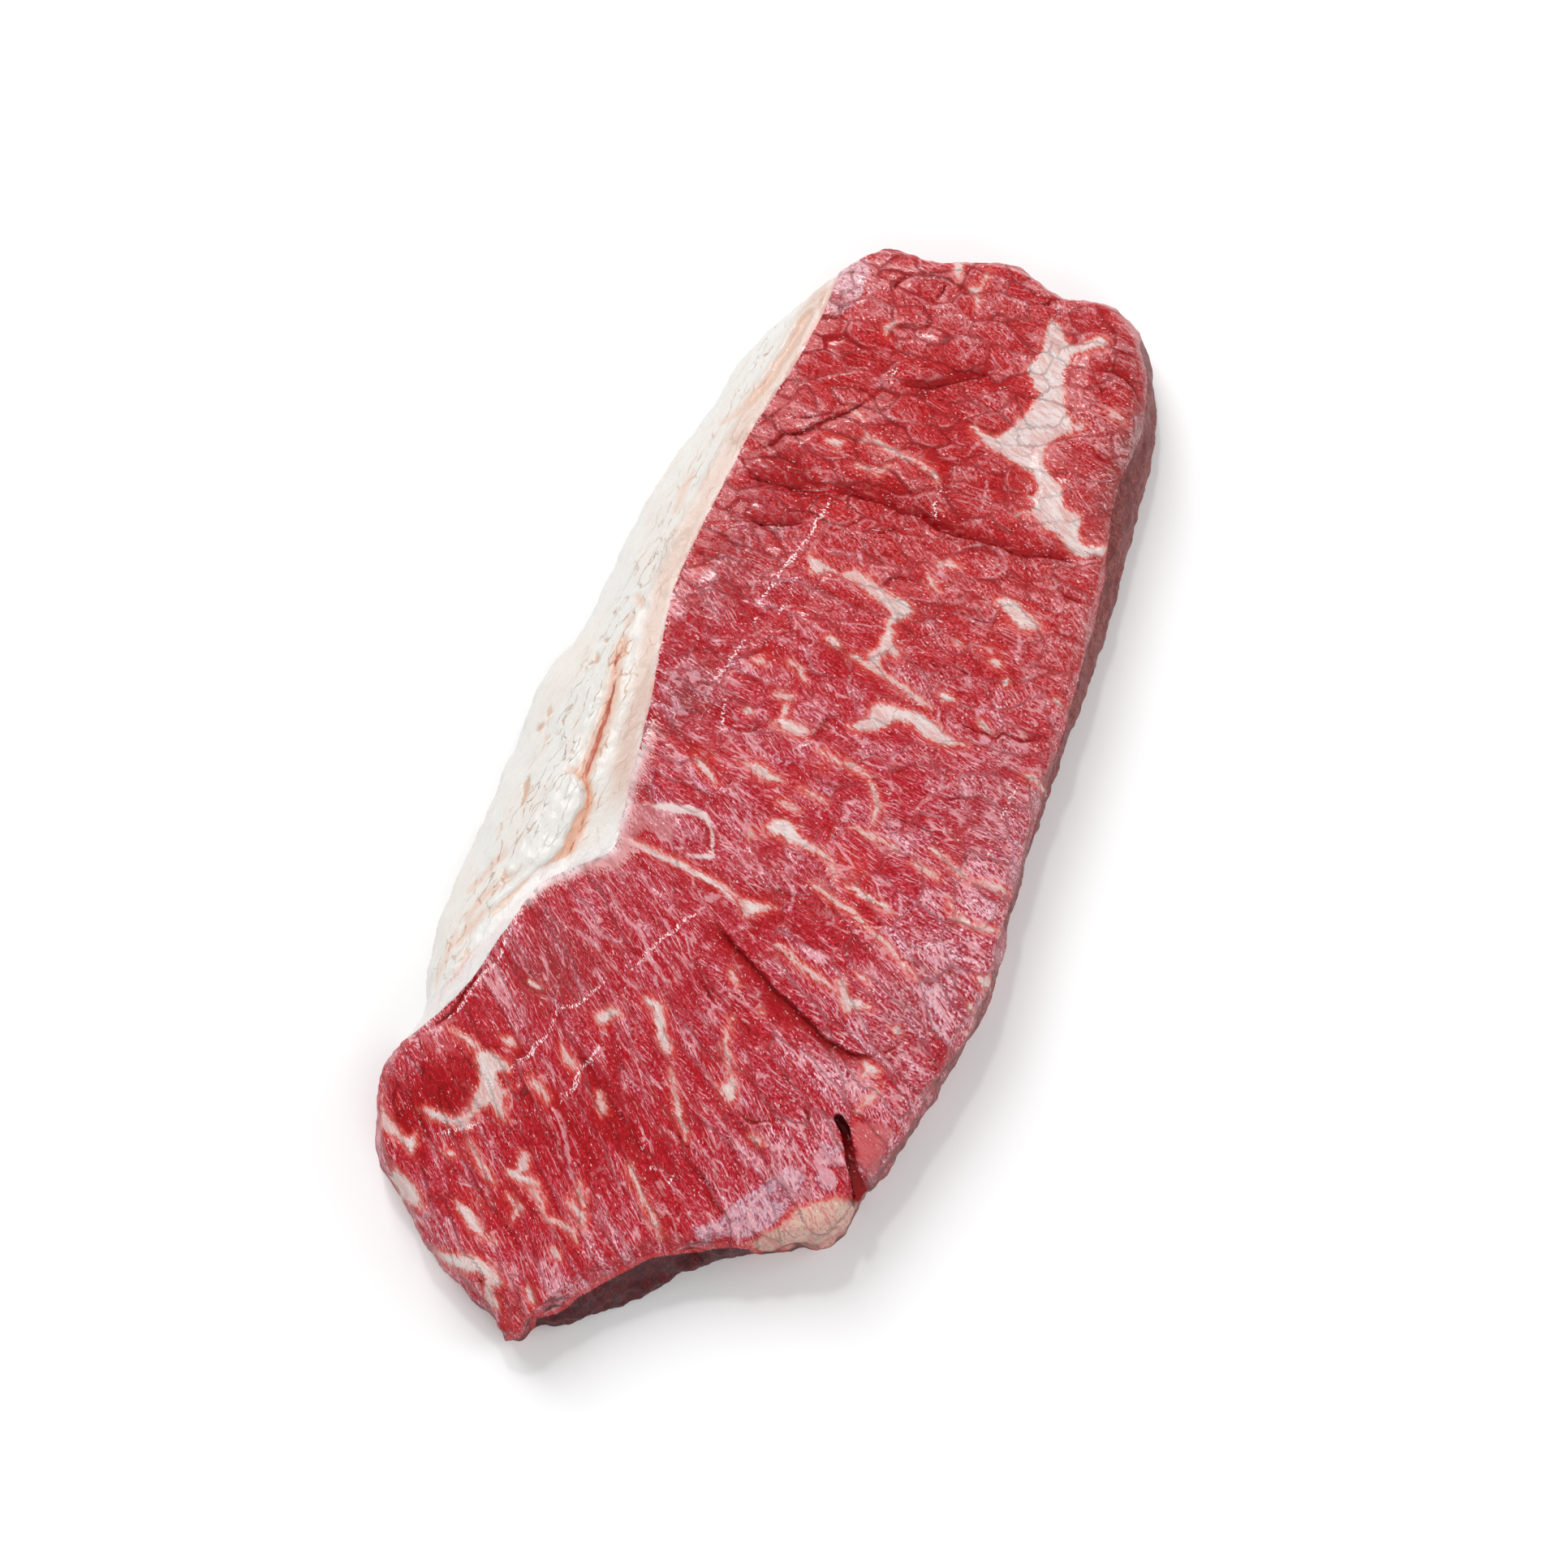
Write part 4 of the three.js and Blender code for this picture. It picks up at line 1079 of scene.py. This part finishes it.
# Noise in the lean: the space it lies in, its size in millimetres, shift, detail, roughness and distortion.
leanPatterns = {
    "patch": ("grain", (12, 7, 12), (0, 0, 0), 3, 0.55, 0.4),
    "region": ("grain", (7, 4, 7), (31, 12, 5), 2, 0.5, 0.6),
    "fibre": ("turned", (4.4, 0.75, 3.2), (3, 8, 1), 2, 0.55, 0.4),
    "strand": ("grain", (15, 1.1, 9), (6, 2, 9), 2, 0.55, 0.3),
    "comb": ("grain", (9, 0.5, 7), (12, 1, 6), 1, 0.5, 0.2),
    "fine": ("turned", (1.2, 0.44, 0.8), (9, 2, 4), 1, 0.5, 0.15),
    "stipple": ("turned", (0.6, 0.34, 0.5), (2, 6, 8), 0, 0.5, 0.1),
    "sheet": ("place", (2.6, 3.4, 3), (4, 9, 2), 3, 0.55, 1.4),
    "upright": ("place", (1.1, 1.1, 7), (0, 0, 0), 3, 0.6, 0.0),
    "fleck": ("grain", (4.2, 0.85, 4.2), (20, 5, 7), 3, 0.6, 0.5),
    "dash": ("turned", (2.6, 0.34, 0.9), (1, 3, 5), 1, 0.5, 0.3),
    "dots": ("grain", (0.55, 0.36, 0.36), (5, 5, 5), 0, 0.5, 0.5),
    "crowding": ("grain", (3.2, 1.8, 3.2), (1, 7, 3), 3, 0.65, 0.0),
}


# The patterns, and what else several coats of the lean read.
def leanParts(g):
    grain = g.vector("grain")
    place = g.millimetres()
    plate = g.value("plate")
    spot = g.parts(place)
    # every plate has its fibres turned a little, and towards the broad end they run across the folds
    bend = g.plus(g.step(spot["Y"], -10, 30), 0.38, g.plus(plate, 0.6, -0.3))
    turned = g.node("ShaderNodeVectorRotate", {"Vector": grain, "Angle": bend},
                    rotation_type="Z_AXIS").outputs["Vector"]
    n = g.patterns(leanPatterns, grain=grain, turned=turned, place=place)
    n.spot = spot
    n.plate = plate
    n.film = g.value("film")
    n.sheets = g.value("sheet")
    n.intoFat = g.value("intoFat")
    n.valley = g.step(g.value("valley"), 0, 0.9)
    bundles = g.scaled(g.warped(turned, g.scaled(grain, (3, 2, 3)), (2.2, 0.9, 1.4)), (6.4, 2.1, 4.0))
    n.bundle = g.node("ShaderNodeSeparateColor", {"Color": g.cells(bundles, "F1")["Color"]}).outputs[0]
    n.between = g.cells(bundles, "DISTANCE_TO_EDGE")["Distance"]
    n.narrow = g.step(spot["Y"], 62, 5)
    n.plated = g.plus(g.step(spot["Y"], 25, 65), 0.6, 0.4)  # the plates show most at the broad end
    return n


# How pale the lean stands, from deep red at 0 to frosted at 1, and the colour that this gives; the frosted
# end is partly painted wet sheen.
def frostLean(g, n):
    level = g.plus(g.value("tone"), 0.15, g.plus(n.plate, 0.13, 0.395))
    # the plates' tilt paints light and shade on them
    level = g.plus(g.value("shade"), 0.5, level)
    swings = g.swing(n.region, 0.28, g.swing(n.fibre, 0.28, g.swing(n.bundle, 0.12, 0)))
    strands = g.times(g.swing(n.strand, 0.55, 0), g.plus(g.step(n.spot["Y"], 10, -45), 0.55, 0.45))
    # the right side is more even
    level = g.add(level, g.times(g.add(swings, strands), g.plus(g.step(n.spot["X"], 24, 42), -0.5, 1.0)))
    combing = g.most(g.step(n.spot["X"], 34, 47), g.plus(g.step(n.spot["Y"], -15, -50), 0.6, 0.1))
    level = g.add(level, g.times(g.swing(n.comb, 0.65, 0), combing))
    level = g.add(level, g.times(g.step(n.film, 0, 1.2), g.swing(n.sheet, 0.6, 0.0)))
    # painted shade down the sloping sides of the creases
    n.level = g.plus(n.sheets, 0.2, g.plus(n.valley, -0.38, level))
    strength = g.plus(n.narrow, 0.4, 0.4)
    n.micro = g.add(g.times(g.swing(n.fine, 1.0, 0), strength), g.swing(n.stipple, 1.0, 0))
    paleAndSheen = g.add(n.level, g.times(n.micro, g.plus(n.level, 0.9, 0.5)))
    colour = g.mix(n.narrow, g.ramp(paleAndSheen, leanLook["broad"]), g.ramp(paleAndSheen, leanLook["narrow"]))
    return g.mix(1.0, colour, g.plus(n.stipple, 0.95, g.plus(n.fine, 0.45, 0.3)), "MULTIPLY")


# Wet veils and frosted films with clear edges, their lavender partly painted sheen of the light on the wet
# surface, and the duller brown.
def layFilms(g, n, colour):
    look = leanLook
    sheenVeil = g.times(g.step(n.film, 0.4, 1.6), g.step(n.sheet, 0.42, 0.56))
    colour = g.lay(colour, g.times(sheenVeil, leanShare["sheenVeil"]), look["sheenVeil"])
    streaks = g.plus(n.stipple, 0.9, g.plus(n.fine, 0.9, g.plus(n.sheet, 0.5, -0.65)))
    pale = g.mix(n.narrow, paint(look["filmPink"]), paint(look["filmPale"]))
    film = g.mix(g.step(streaks, 0.3, 0.75), paint(look["filmDeep"]), pale)
    colour = g.mix(g.times(n.sheets, g.plus(n.sheet, 0.7, 0.35)), colour, film)
    return g.lay(colour, g.times(g.value("dun"), leanShare["dun"]), look["dun"])


# Orange-red glow beside the marbling, and small flecks of fat along the fibres.
def layFlecks(g, n, colour):
    halo = g.times(g.step(g.value("marbling"), -2.4, 0.3), leanShare["halo"])
    halo = g.most(halo, g.times(g.value("glow"), leanShare["glow"]))
    colour = g.lay(colour, g.times(halo, g.step(n.patch, 0.3, 0.6)), leanLook["glow"])
    fleck = g.step(g.plus(n.patch, 0.25, g.plus(n.fine, 0.1, n.fleck)), 0.8, 0.9)
    return g.lay(colour, g.times(fleck, leanShare["fleck"]), leanLook["fatPink"])


# Pale threads, partly painted light and shade: short dashes along the fibres that are partly painted glints,
# bundle borders in painted shade on one side and pale on the other, and a painted lit lip on the raised side
# of each plate.
def layThreads(g, n, colour):
    look = leanLook
    dash = g.step(g.plus(n.level, 0.3, n.dash), 0.73, 0.82)
    threads = g.plus(n.narrow, 0.3, 0.35)
    colour = g.lay(colour, g.times(dash, threads), look["threadAndHighlight"])
    rim = g.step(g.plus(n.fine, 0.1, n.between), 0.14, 0.08)
    shown = g.plus(n.level, 0.4, n.region)
    shaded = g.times(rim, g.step(shown, 0.62, 0.5))
    colour = g.lay(colour, g.times(shaded, leanShare["rim"]), look["valley"])
    rim = g.times(g.times(rim, g.step(shown, 0.66, 0.82)), g.times(threads, 1.5))
    lip = g.plus(n.fine, 0.1, g.value("edge"))
    lip = g.times(g.times(g.step(lip, 0.27, 0.2), g.step(lip, 0.12, 0.17)),
                  g.step(g.value("shade"), -0.04, 0.06))
    lip = g.times(g.times(lip, n.plated), g.step(g.plus(n.patch, 0.6, n.sheet), 0.76, 0.9))
    pale = g.most(rim, g.times(lip, leanShare["lip"]))
    return g.lay(colour, g.times(pale, leanShare["rim"]), look["threadAndHighlight"])


# The flap beside the slit, sinew, and the fat of seams and streaks.
def layMarbling(g, n, colour):
    look = leanLook
    flap = g.step(g.plus(n.fine, 0.8, g.add(g.value("flap"), -0.4)), -0.4, 1.0)
    colour = g.lay(colour, g.times(flap, g.plus(n.fibre, 0.9, 0.3)), look["flap"])
    sinew = g.step(g.plus(n.fibre, 1.6, g.plus(n.fine, 0.8, g.add(g.value("sinew"), -1.25))), -0.2, 0.35)
    colour = g.lay(colour, g.times(sinew, leanShare["sinew"]), look["sinew"])
    rag = g.plus(n.fibre, 2.6, g.plus(n.fine, 1.0, g.plus(n.stipple, 0.8, -2.2)))
    inside = g.add(g.value("marbling"), rag)
    colour = g.lay(colour, g.times(g.step(inside, -1.3, 0.2), leanShare["fatEdge"]), look["fatEdge"])
    blush = g.step(g.plus(n.fibre, 1.0, g.times(n.region, 0.6)), 0.66, 1.0)
    pale = g.mix(g.times(blush, leanShare["blush"]), paint(look["fat"]), paint(look["fatPink"]))

    # the remnant on the torn corner is tan and veined, and does not reach the underside
    remnant = g.times(g.step(n.spot["X"], 33, 37), g.step(n.spot["Y"], -67, -71))
    blush = g.times(g.step(g.plus(n.sheet, 1.0, n.fibre), 0.8, 1.3), leanShare["remnantBlush"])
    tan = g.mix(blush, paint(look["tan"]), paint(look["fatPink"]))
    n.veins = g.step(g.plus(n.stipple, 0.5, g.plus(n.fine, 0.9, n.fibre)), 1.16, 1.4)
    tan = g.lay(tan, g.times(n.veins, leanShare["veins"]), look["flap"])
    drop = g.step(g.plus(n.patch, 3.0, n.spot["Z"]), 13.5, 8.0)
    n.fat = g.times(g.step(inside, -0.4, 0.55), g.without(g.times(remnant, g.value("wall")), drop))
    return g.mix(n.fat, colour, g.mix(remnant, pale, tan))


# The pale skin in the corner, with its white edge, and the fuzzy one along the fat.
def laySkins(g, n, colour):
    look = leanLook
    n.skin = g.step(g.plus(n.fine, 1.0, g.plus(n.fibre, 1.2, g.add(g.value("skin"), -1.1))), -0.5, 0.4)
    colour = g.lay(colour, g.times(n.skin, g.plus(n.fine, 0.9, g.plus(n.fibre, 0.5, -0.25))), look["skin"])
    skinEdge = g.step(g.plus(n.fine, 1.0, g.add(g.value("skinEdge"), -0.5)), -0.3, 0.3)
    colour = g.lay(colour, g.times(skinEdge, leanShare["skinEdge"]), look["fat"])
    fringe = g.most(g.value("fringe"), g.add(n.intoFat, -0.6))
    fringe = g.step(g.plus(n.micro, 3.4, g.plus(n.fibre, 1.8, g.add(fringe, -0.7))), -0.5, 0.7)
    fuzz = g.mix(g.step(n.intoFat, -2.2, 0.0), paint(look["membrane"]), paint(look["fuzz"]))
    return g.mix(g.times(fringe, leanShare["fringe"]), colour, fuzz)


# Creases get painted shade down their sloping side and a thin dark painted line at their bottom; the furrows
# between the plates get painted shade too.
def layCreases(g, n, colour):
    look = leanLook
    colour = g.lay(colour, g.times(n.valley, leanShare["valley"]), look["valley"])
    n.crease = g.step(g.plus(n.fine, 0.4, g.add(g.value("crease"), -0.2)), -0.12, 0.2)
    colour = g.lay(colour, g.times(n.crease, leanShare["crease"]), look["crease"])
    n.furrow = g.times(g.times(g.value("furrow"), n.plated), g.step(n.patch, 0.43, 0.57))
    return g.lay(colour, g.times(n.furrow, leanShare["furrow"]), look["valley"])


# Walls: stony brown on the right, maroon at the narrow end, red on the left. The slit is deep red inside,
# with painted shade in its deep upper end.
def layWalls(g, n, colour):
    look = leanLook
    steep = g.value("wall")
    rim = g.plus(n.fine, 0.5, g.add(g.value("rim"), -0.2))
    n.wall = g.most(steep, g.step(rim, -0.1, 0.25))
    stony = g.step(g.plus(n.upright, 0.6, g.times(n.stipple, 0.6)), 0.42, 0.8)
    lower = g.step(n.spot["Y"], -60, -78)
    dark = g.mix(lower, paint(look["wallBrown"]), paint(look["wallDark"]))
    pale = g.mix(lower, paint(look["wallPale"]), paint(look["wallRed"]))
    dull = g.mix(g.times(stony, g.step(n.sheet, 0.3, 0.62)), dark, pale)
    side = g.mix(g.value("brown"), g.lay(colour, 0.5, look["wallRed"]), dull)
    bare = g.times(n.wall, g.without(n.fat, 0.85))
    colour = g.mix(g.times(bare, leanShare["wall"]), colour, side)
    edge = g.times(g.times(g.step(rim, -0.9, -0.3), g.step(rim, 0.2, -0.1)), lower)
    colour = g.lay(colour, g.times(edge, leanShare["rimRed"]), look["rimRed"])
    slit = g.step(g.plus(n.fine, 0.5, g.add(g.value("slit"), -0.25)), -0.5, 0.0)
    slit = g.times(g.times(slit, g.step(n.spot["Z"], 18.8, 17.6)), g.plus(steep, -0.8, 1.0))
    torn = g.mix(g.step(n.spot["Y"], -56, -62), paint(look["crease"]), paint(look["torn"]))
    return g.mix(slit, colour, torn)


# Painted glints: wet specks of painted highlight, crowded in patches and along the runs of glints.
def layPaintedGlints(g, n, colour):
    run = g.step(g.value("glint"), -0.2, 0.3)
    paintedGlint = g.step(g.plus(n.crowding, 0.7, g.plus(run, 0.26, n.dots)), 1.12, 1.19)
    paintedGlint = g.times(paintedGlint, g.without(n.wall, 0.9))
    return g.lay(colour, g.times(paintedGlint, g.plus(run, 0.35, 0.55)), leanLook["paintedGlint"])


def leanBump(g, n):
    height = g.plus(n.fibre, 0.1, g.plus(n.fine, 0.035, g.times(n.stipple, 0.02)))
    height = g.plus(g.step(n.between, 0.0, 0.2), 0.05, height)
    height = g.times(height, g.without(g.most(n.fat, n.skin), 0.6))
    height = g.plus(g.step(g.value("crease"), -0.4, 0.2), -0.1, height)
    height = g.plus(n.fat, 0.1, height)
    return g.plus(g.times(n.fat, n.veins), -0.12, height)


def makeLeanMaterial():
    g = Graph("wetLean")
    n = leanParts(g)
    colour = frostLean(g, n)
    for coat in (layFilms, layFlecks, layThreads, layMarbling, laySkins, layCreases, layWalls, layPaintedGlints):
        colour = coat(g, n, colour)
    # walls, creases and fat shine less
    dry = g.most(g.times(n.wall, 0.6), g.most(n.crease, g.times(n.furrow, 0.7)))
    dry = g.most(dry, g.times(n.fat, 0.7))
    rough = g.plus(n.fine, 0.12, g.plus(n.film, -0.04, g.plus(dry, 0.4, 0.24)))
    return g.finish({
        "Base Color": colour, "Roughness": rough,
        "Coat Weight": g.plus(dry, -0.2, 0.2), "Coat Roughness": 0.09,
        "IOR": 1.38, "Specular IOR Level": 0.28,
        "Subsurface Weight": 0.5, "Subsurface Radius": (1.0, 0.15, 0.12), "Subsurface Scale": 0.2 * mm,
    }, leanBump(g, n))


fatLook = {
    "white": (220, 218, 214),
    "cream": (221, 215, 208),
    "blush": (214, 128, 108),
    "bright": (223, 218, 216),
    "peach": (205, 174, 159),
    # red-orange of the grooves, partly a stain and partly painted shade
    "groove": (176, 66, 30),
    # peach of the painted shade along folds, beside the grooves and round the lobe
    "peachShade": (222, 166, 136),
    "lobe": (222, 219, 215),
    "pit": (200, 152, 116),
    "membrane": (218, 160, 160),
    "stain": (188, 148, 116),
}


# How much of what lies under it each coat of the fat covers.
fatShare = {
    "peach": 0.8,
    "lumps": 0.26,
    "stain": 0.85,
    "peachShade": 0.5,
    "pit": 0.7,
    "around": 0.7,
    "groove": 0.85,
    "blush": 0.6,
    "under": 0.6,
    "lobe": 0.8,
    "bright": 0.85,
    "membrane": 0.6,
}

# Noise in the fat, in the same terms as the lean's.
fatPatterns = {
    "broad": ("place", (7, 16, 9), (0, 0, 0), 3, 0.55, 0.5),
    "lump": ("place", (2.2, 5.5, 2.2), (4, 4, 4), 4, 0.6, 0.6),
    "fine": ("place", (0.5, 0.8, 0.5), (2, 7, 1), 3, 0.6, 0.0),
    "flake": ("place", (1.5, 2.6, 1.6), (8, 1, 3), 3, 0.6, 1.2),
}


# White and cream, with a peach band beside the lean and lumps lightly tinted with the peach of the painted
# shade.
def creamFat(g, n):
    look = fatLook
    colour = g.mix(g.step(n.broad, 0.4, 0.62), paint(look["white"]), paint(look["cream"]))
    band = g.times(g.step(g.plus(n.broad, 3.5, n.intoFat), 8.0, 4.5),
                   g.step(g.plus(n.broad, 2.0, n.intoFat), 0.8, 2.4))
    band = g.times(band, g.step(n.spot["Y"], -24, -12))
    colour = g.lay(colour, g.times(band, fatShare["peach"]), look["peach"])
    lumps = g.times(g.step(n.lump, 0.56, 0.72), g.step(n.broad, 0.35, 0.6))
    return g.lay(colour, g.times(lumps, fatShare["lumps"]), look["peachShade"])


# Tan edges of torn flakes, more of them on the outer side.
def layFlakes(g, n, colour):
    flakes = g.scaled(g.warped(n.place, g.scaled(n.place, (2.2, 5, 2.5)), (2.8, 5, 3)), (2.5, 10, 3.2))
    gap = g.plus(n.flake, 0.12, g.cells(flakes, "DISTANCE_TO_EDGE")["Distance"])
    outer = g.step(g.plus(n.broad, 3.0, n.intoFat), 6.0, 9.0)
    rag = g.times(g.step(gap, 0.1, 0.07), g.plus(outer, 0.6, 0.4))
    upper = g.times(g.plus(n.wall, -0.9, 1.0), g.step(n.spot["Z"], 8, 16))
    n.rag = g.times(g.times(rag, g.step(n.lump, 0.4, 0.6)), upper)
    return g.lay(colour, g.times(n.rag, fatShare["stain"]), fatLook["stain"])


# Painted peach shade along the folds and beside the grooves, tan pits, and the grooves' red-orange line,
# partly a stain and partly painted shade.
def layGrooves(g, n, colour):
    look = fatLook
    peachShade = g.step(g.plus(n.lump, 1.6, g.add(g.value("peachShade"), -0.8)), -1.1, 0.5)
    colour = g.lay(colour, g.times(peachShade, fatShare["peachShade"]), look["peachShade"])
    pit = g.step(g.plus(n.fine, 1.2, g.add(g.value("pit"), -0.6)), -0.4, 0.3)
    colour = g.lay(colour, g.times(pit, fatShare["pit"]), look["pit"])
    around = g.step(g.plus(n.lump, 1.2, g.add(g.value("groove"), -0.6)), -2.2, 0.5)
    colour = g.lay(colour, g.times(around, fatShare["around"]), look["peachShade"])
    groove = g.step(g.plus(n.lump, 1.0, g.add(g.value("groove"), -0.5)), 0.0, 0.35)
    return g.lay(colour, g.times(groove, fatShare["groove"]), look["groove"])


# Pink beside the lean, the raised lobe with a painted peach shadow round its foot, and the white fat and skin
# towards the narrow end.
def layInnerFat(g, n, colour):
    look = fatLook
    fuzz = g.plus(n.fine, 1.4, -0.7)
    blush = g.times(g.step(g.add(n.intoFat, g.times(fuzz, 1.6)), 1.1, -0.2), g.step(n.spot["Y"], -14, 4))
    colour = g.lay(colour, g.times(blush, fatShare["blush"]), look["blush"])
    lobe = g.plus(n.lump, 0.8, g.add(g.value("lobe"), -0.4))
    inner = g.step(n.spot["X"], -43.5, -40)
    # painted peach shadow round the foot of the lobe
    under = g.times(g.times(g.step(lobe, -2.2, -0.2), g.step(lobe, 0.3, -0.1)), inner)
    colour = g.lay(colour, g.times(under, fatShare["under"]), look["peachShade"])
    lobe = g.times(g.step(lobe, -0.1, 0.4), inner)
    colour = g.lay(colour, g.times(lobe, fatShare["lobe"]), look["lobe"])
    bright = g.step(g.plus(fuzz, 0.8, g.plus(n.broad, 1.5, n.intoFat)), 3.9, 3.2)
    bright = g.times(bright, g.step(n.spot["Y"], -18, -30))
    colour = g.lay(colour, g.times(bright, fatShare["bright"]), look["bright"])
    membrane = g.step(g.add(g.value("fringe"), g.times(fuzz, 1.2)), -0.5, 0.6)
    membrane = g.times(membrane, g.plus(bright, -0.8, 1.0))
    return g.lay(colour, g.times(membrane, fatShare["membrane"]), look["membrane"])


def makeFatMaterial():
    g = Graph("moistFat")
    n = g.patterns(fatPatterns, place=g.millimetres())
    n.spot = g.parts(n.place)
    n.wall = g.value("wall")
    n.intoFat = g.value("intoFat")
    colour = creamFat(g, n)
    for coat in (layFlakes, layGrooves, layInnerFat):
        colour = coat(g, n, colour)
    height = g.plus(n.lump, 0.3, g.plus(n.flake, 0.16, g.plus(n.fine, 0.07, g.times(n.rag, -0.15))))
    return g.finish({
        "Base Color": colour, "Roughness": g.plus(n.fine, 0.2, g.plus(n.wall, 0.1, 0.3)),
        "Coat Weight": 0.25, "Coat Roughness": 0.09, "IOR": 1.4,
        "Subsurface Weight": 0.12, "Subsurface Radius": (1.0, 0.85, 0.75), "Subsurface Scale": 0.7 * mm,
    }, height)


studio = {
    "floorSize": 6.0,  # metres
    "floor": (250, 250, 250),
    "azimuth": 26.7,  # degrees round from -y towards +x
    "elevation": 78.0,
    "lens": 90.0,
    "sensor": 36.0,
    "aim": (-0.79, 1.71, 12.0),  # millimetres
    "distance": 816.43,
    "air": 0.43,
    "lights": {  # place and size in metres, and power
        "key": ((-1.1, 0.75, 1.3), 1.0, 20.0),
        "fill": ((0.9, -1.1, 1.3), 1.4, 9.3),
        "back": ((1.3, 0.9, 1.1), 1.0, 7.6),
        "sheen": ((-0.55, 0.65, 1.5), 0.12, 4.0),
    },
}


def makeFloor():
    bpy.ops.mesh.primitive_plane_add(size=studio["floorSize"], location=(0, 0, 0))
    floor = bpy.context.object
    floor.name = "floor"
    paper = bpy.data.materials.new("palePaper")
    paper.use_nodes = True
    shader = paper.node_tree.nodes["Principled BSDF"]
    shader.inputs["Base Color"].default_value = paint(studio["floor"])
    shader.inputs["Roughness"].default_value = 0.9
    floor.data.materials.append(paper)


def makeLights():
    for name, (place, size, power) in studio["lights"].items():
        bpy.ops.object.light_add(type="AREA", location=place)
        light = bpy.context.object
        light.name = name
        light.data.energy = power
        light.data.size = size
        light.rotation_euler = (-Vector(place)).to_track_quat("-Z", "Y").to_euler()
    world = bpy.data.worlds.new("studioAir")
    world.use_nodes = True
    air = world.node_tree.nodes["Background"]
    air.inputs["Color"].default_value = (1, 1, 1, 1)
    air.inputs["Strength"].default_value = studio["air"]
    bpy.context.scene.world = world


def makeCamera():
    turn = math.radians(studio["azimuth"])
    rise = math.radians(studio["elevation"])
    back = Vector((math.sin(turn) * math.cos(rise), -math.cos(turn) * math.cos(rise), math.sin(rise)))
    bpy.ops.object.camera_add(location=(Vector(studio["aim"]) + studio["distance"] * back) * mm)
    camera = bpy.context.object
    camera.rotation_euler = back.to_track_quat("Z", "Y").to_euler()
    camera.data.lens = studio["lens"]
    camera.data.sensor_width = studio["sensor"]
    camera.data.clip_start = 0.01
    bpy.context.scene.camera = camera
    bpy.context.scene.view_settings.view_transform = "Standard"


whole = makeSlice()
print("skin of", len(whole.data.polygons), "faces")
shapeSlice(whole)
leanMeat, fatCap = cutSlice(whole)
for piece in (leanMeat, fatCap):
    markPiece(piece)
print("marks on both pieces")
for piece, finish, node, slot in ((leanMeat, makeLeanMaterial(), "lean_meat", "lean"),
                                  (fatCap, makeFatMaterial(), "fat_cap", "fat")):
    piece.data.materials.clear()
    piece.data.materials.append(finish)
    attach(piece, "root")
    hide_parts(node)
print("materials on both pieces")
makeFloor()
makeLights()
makeCamera()
print("studio ready")
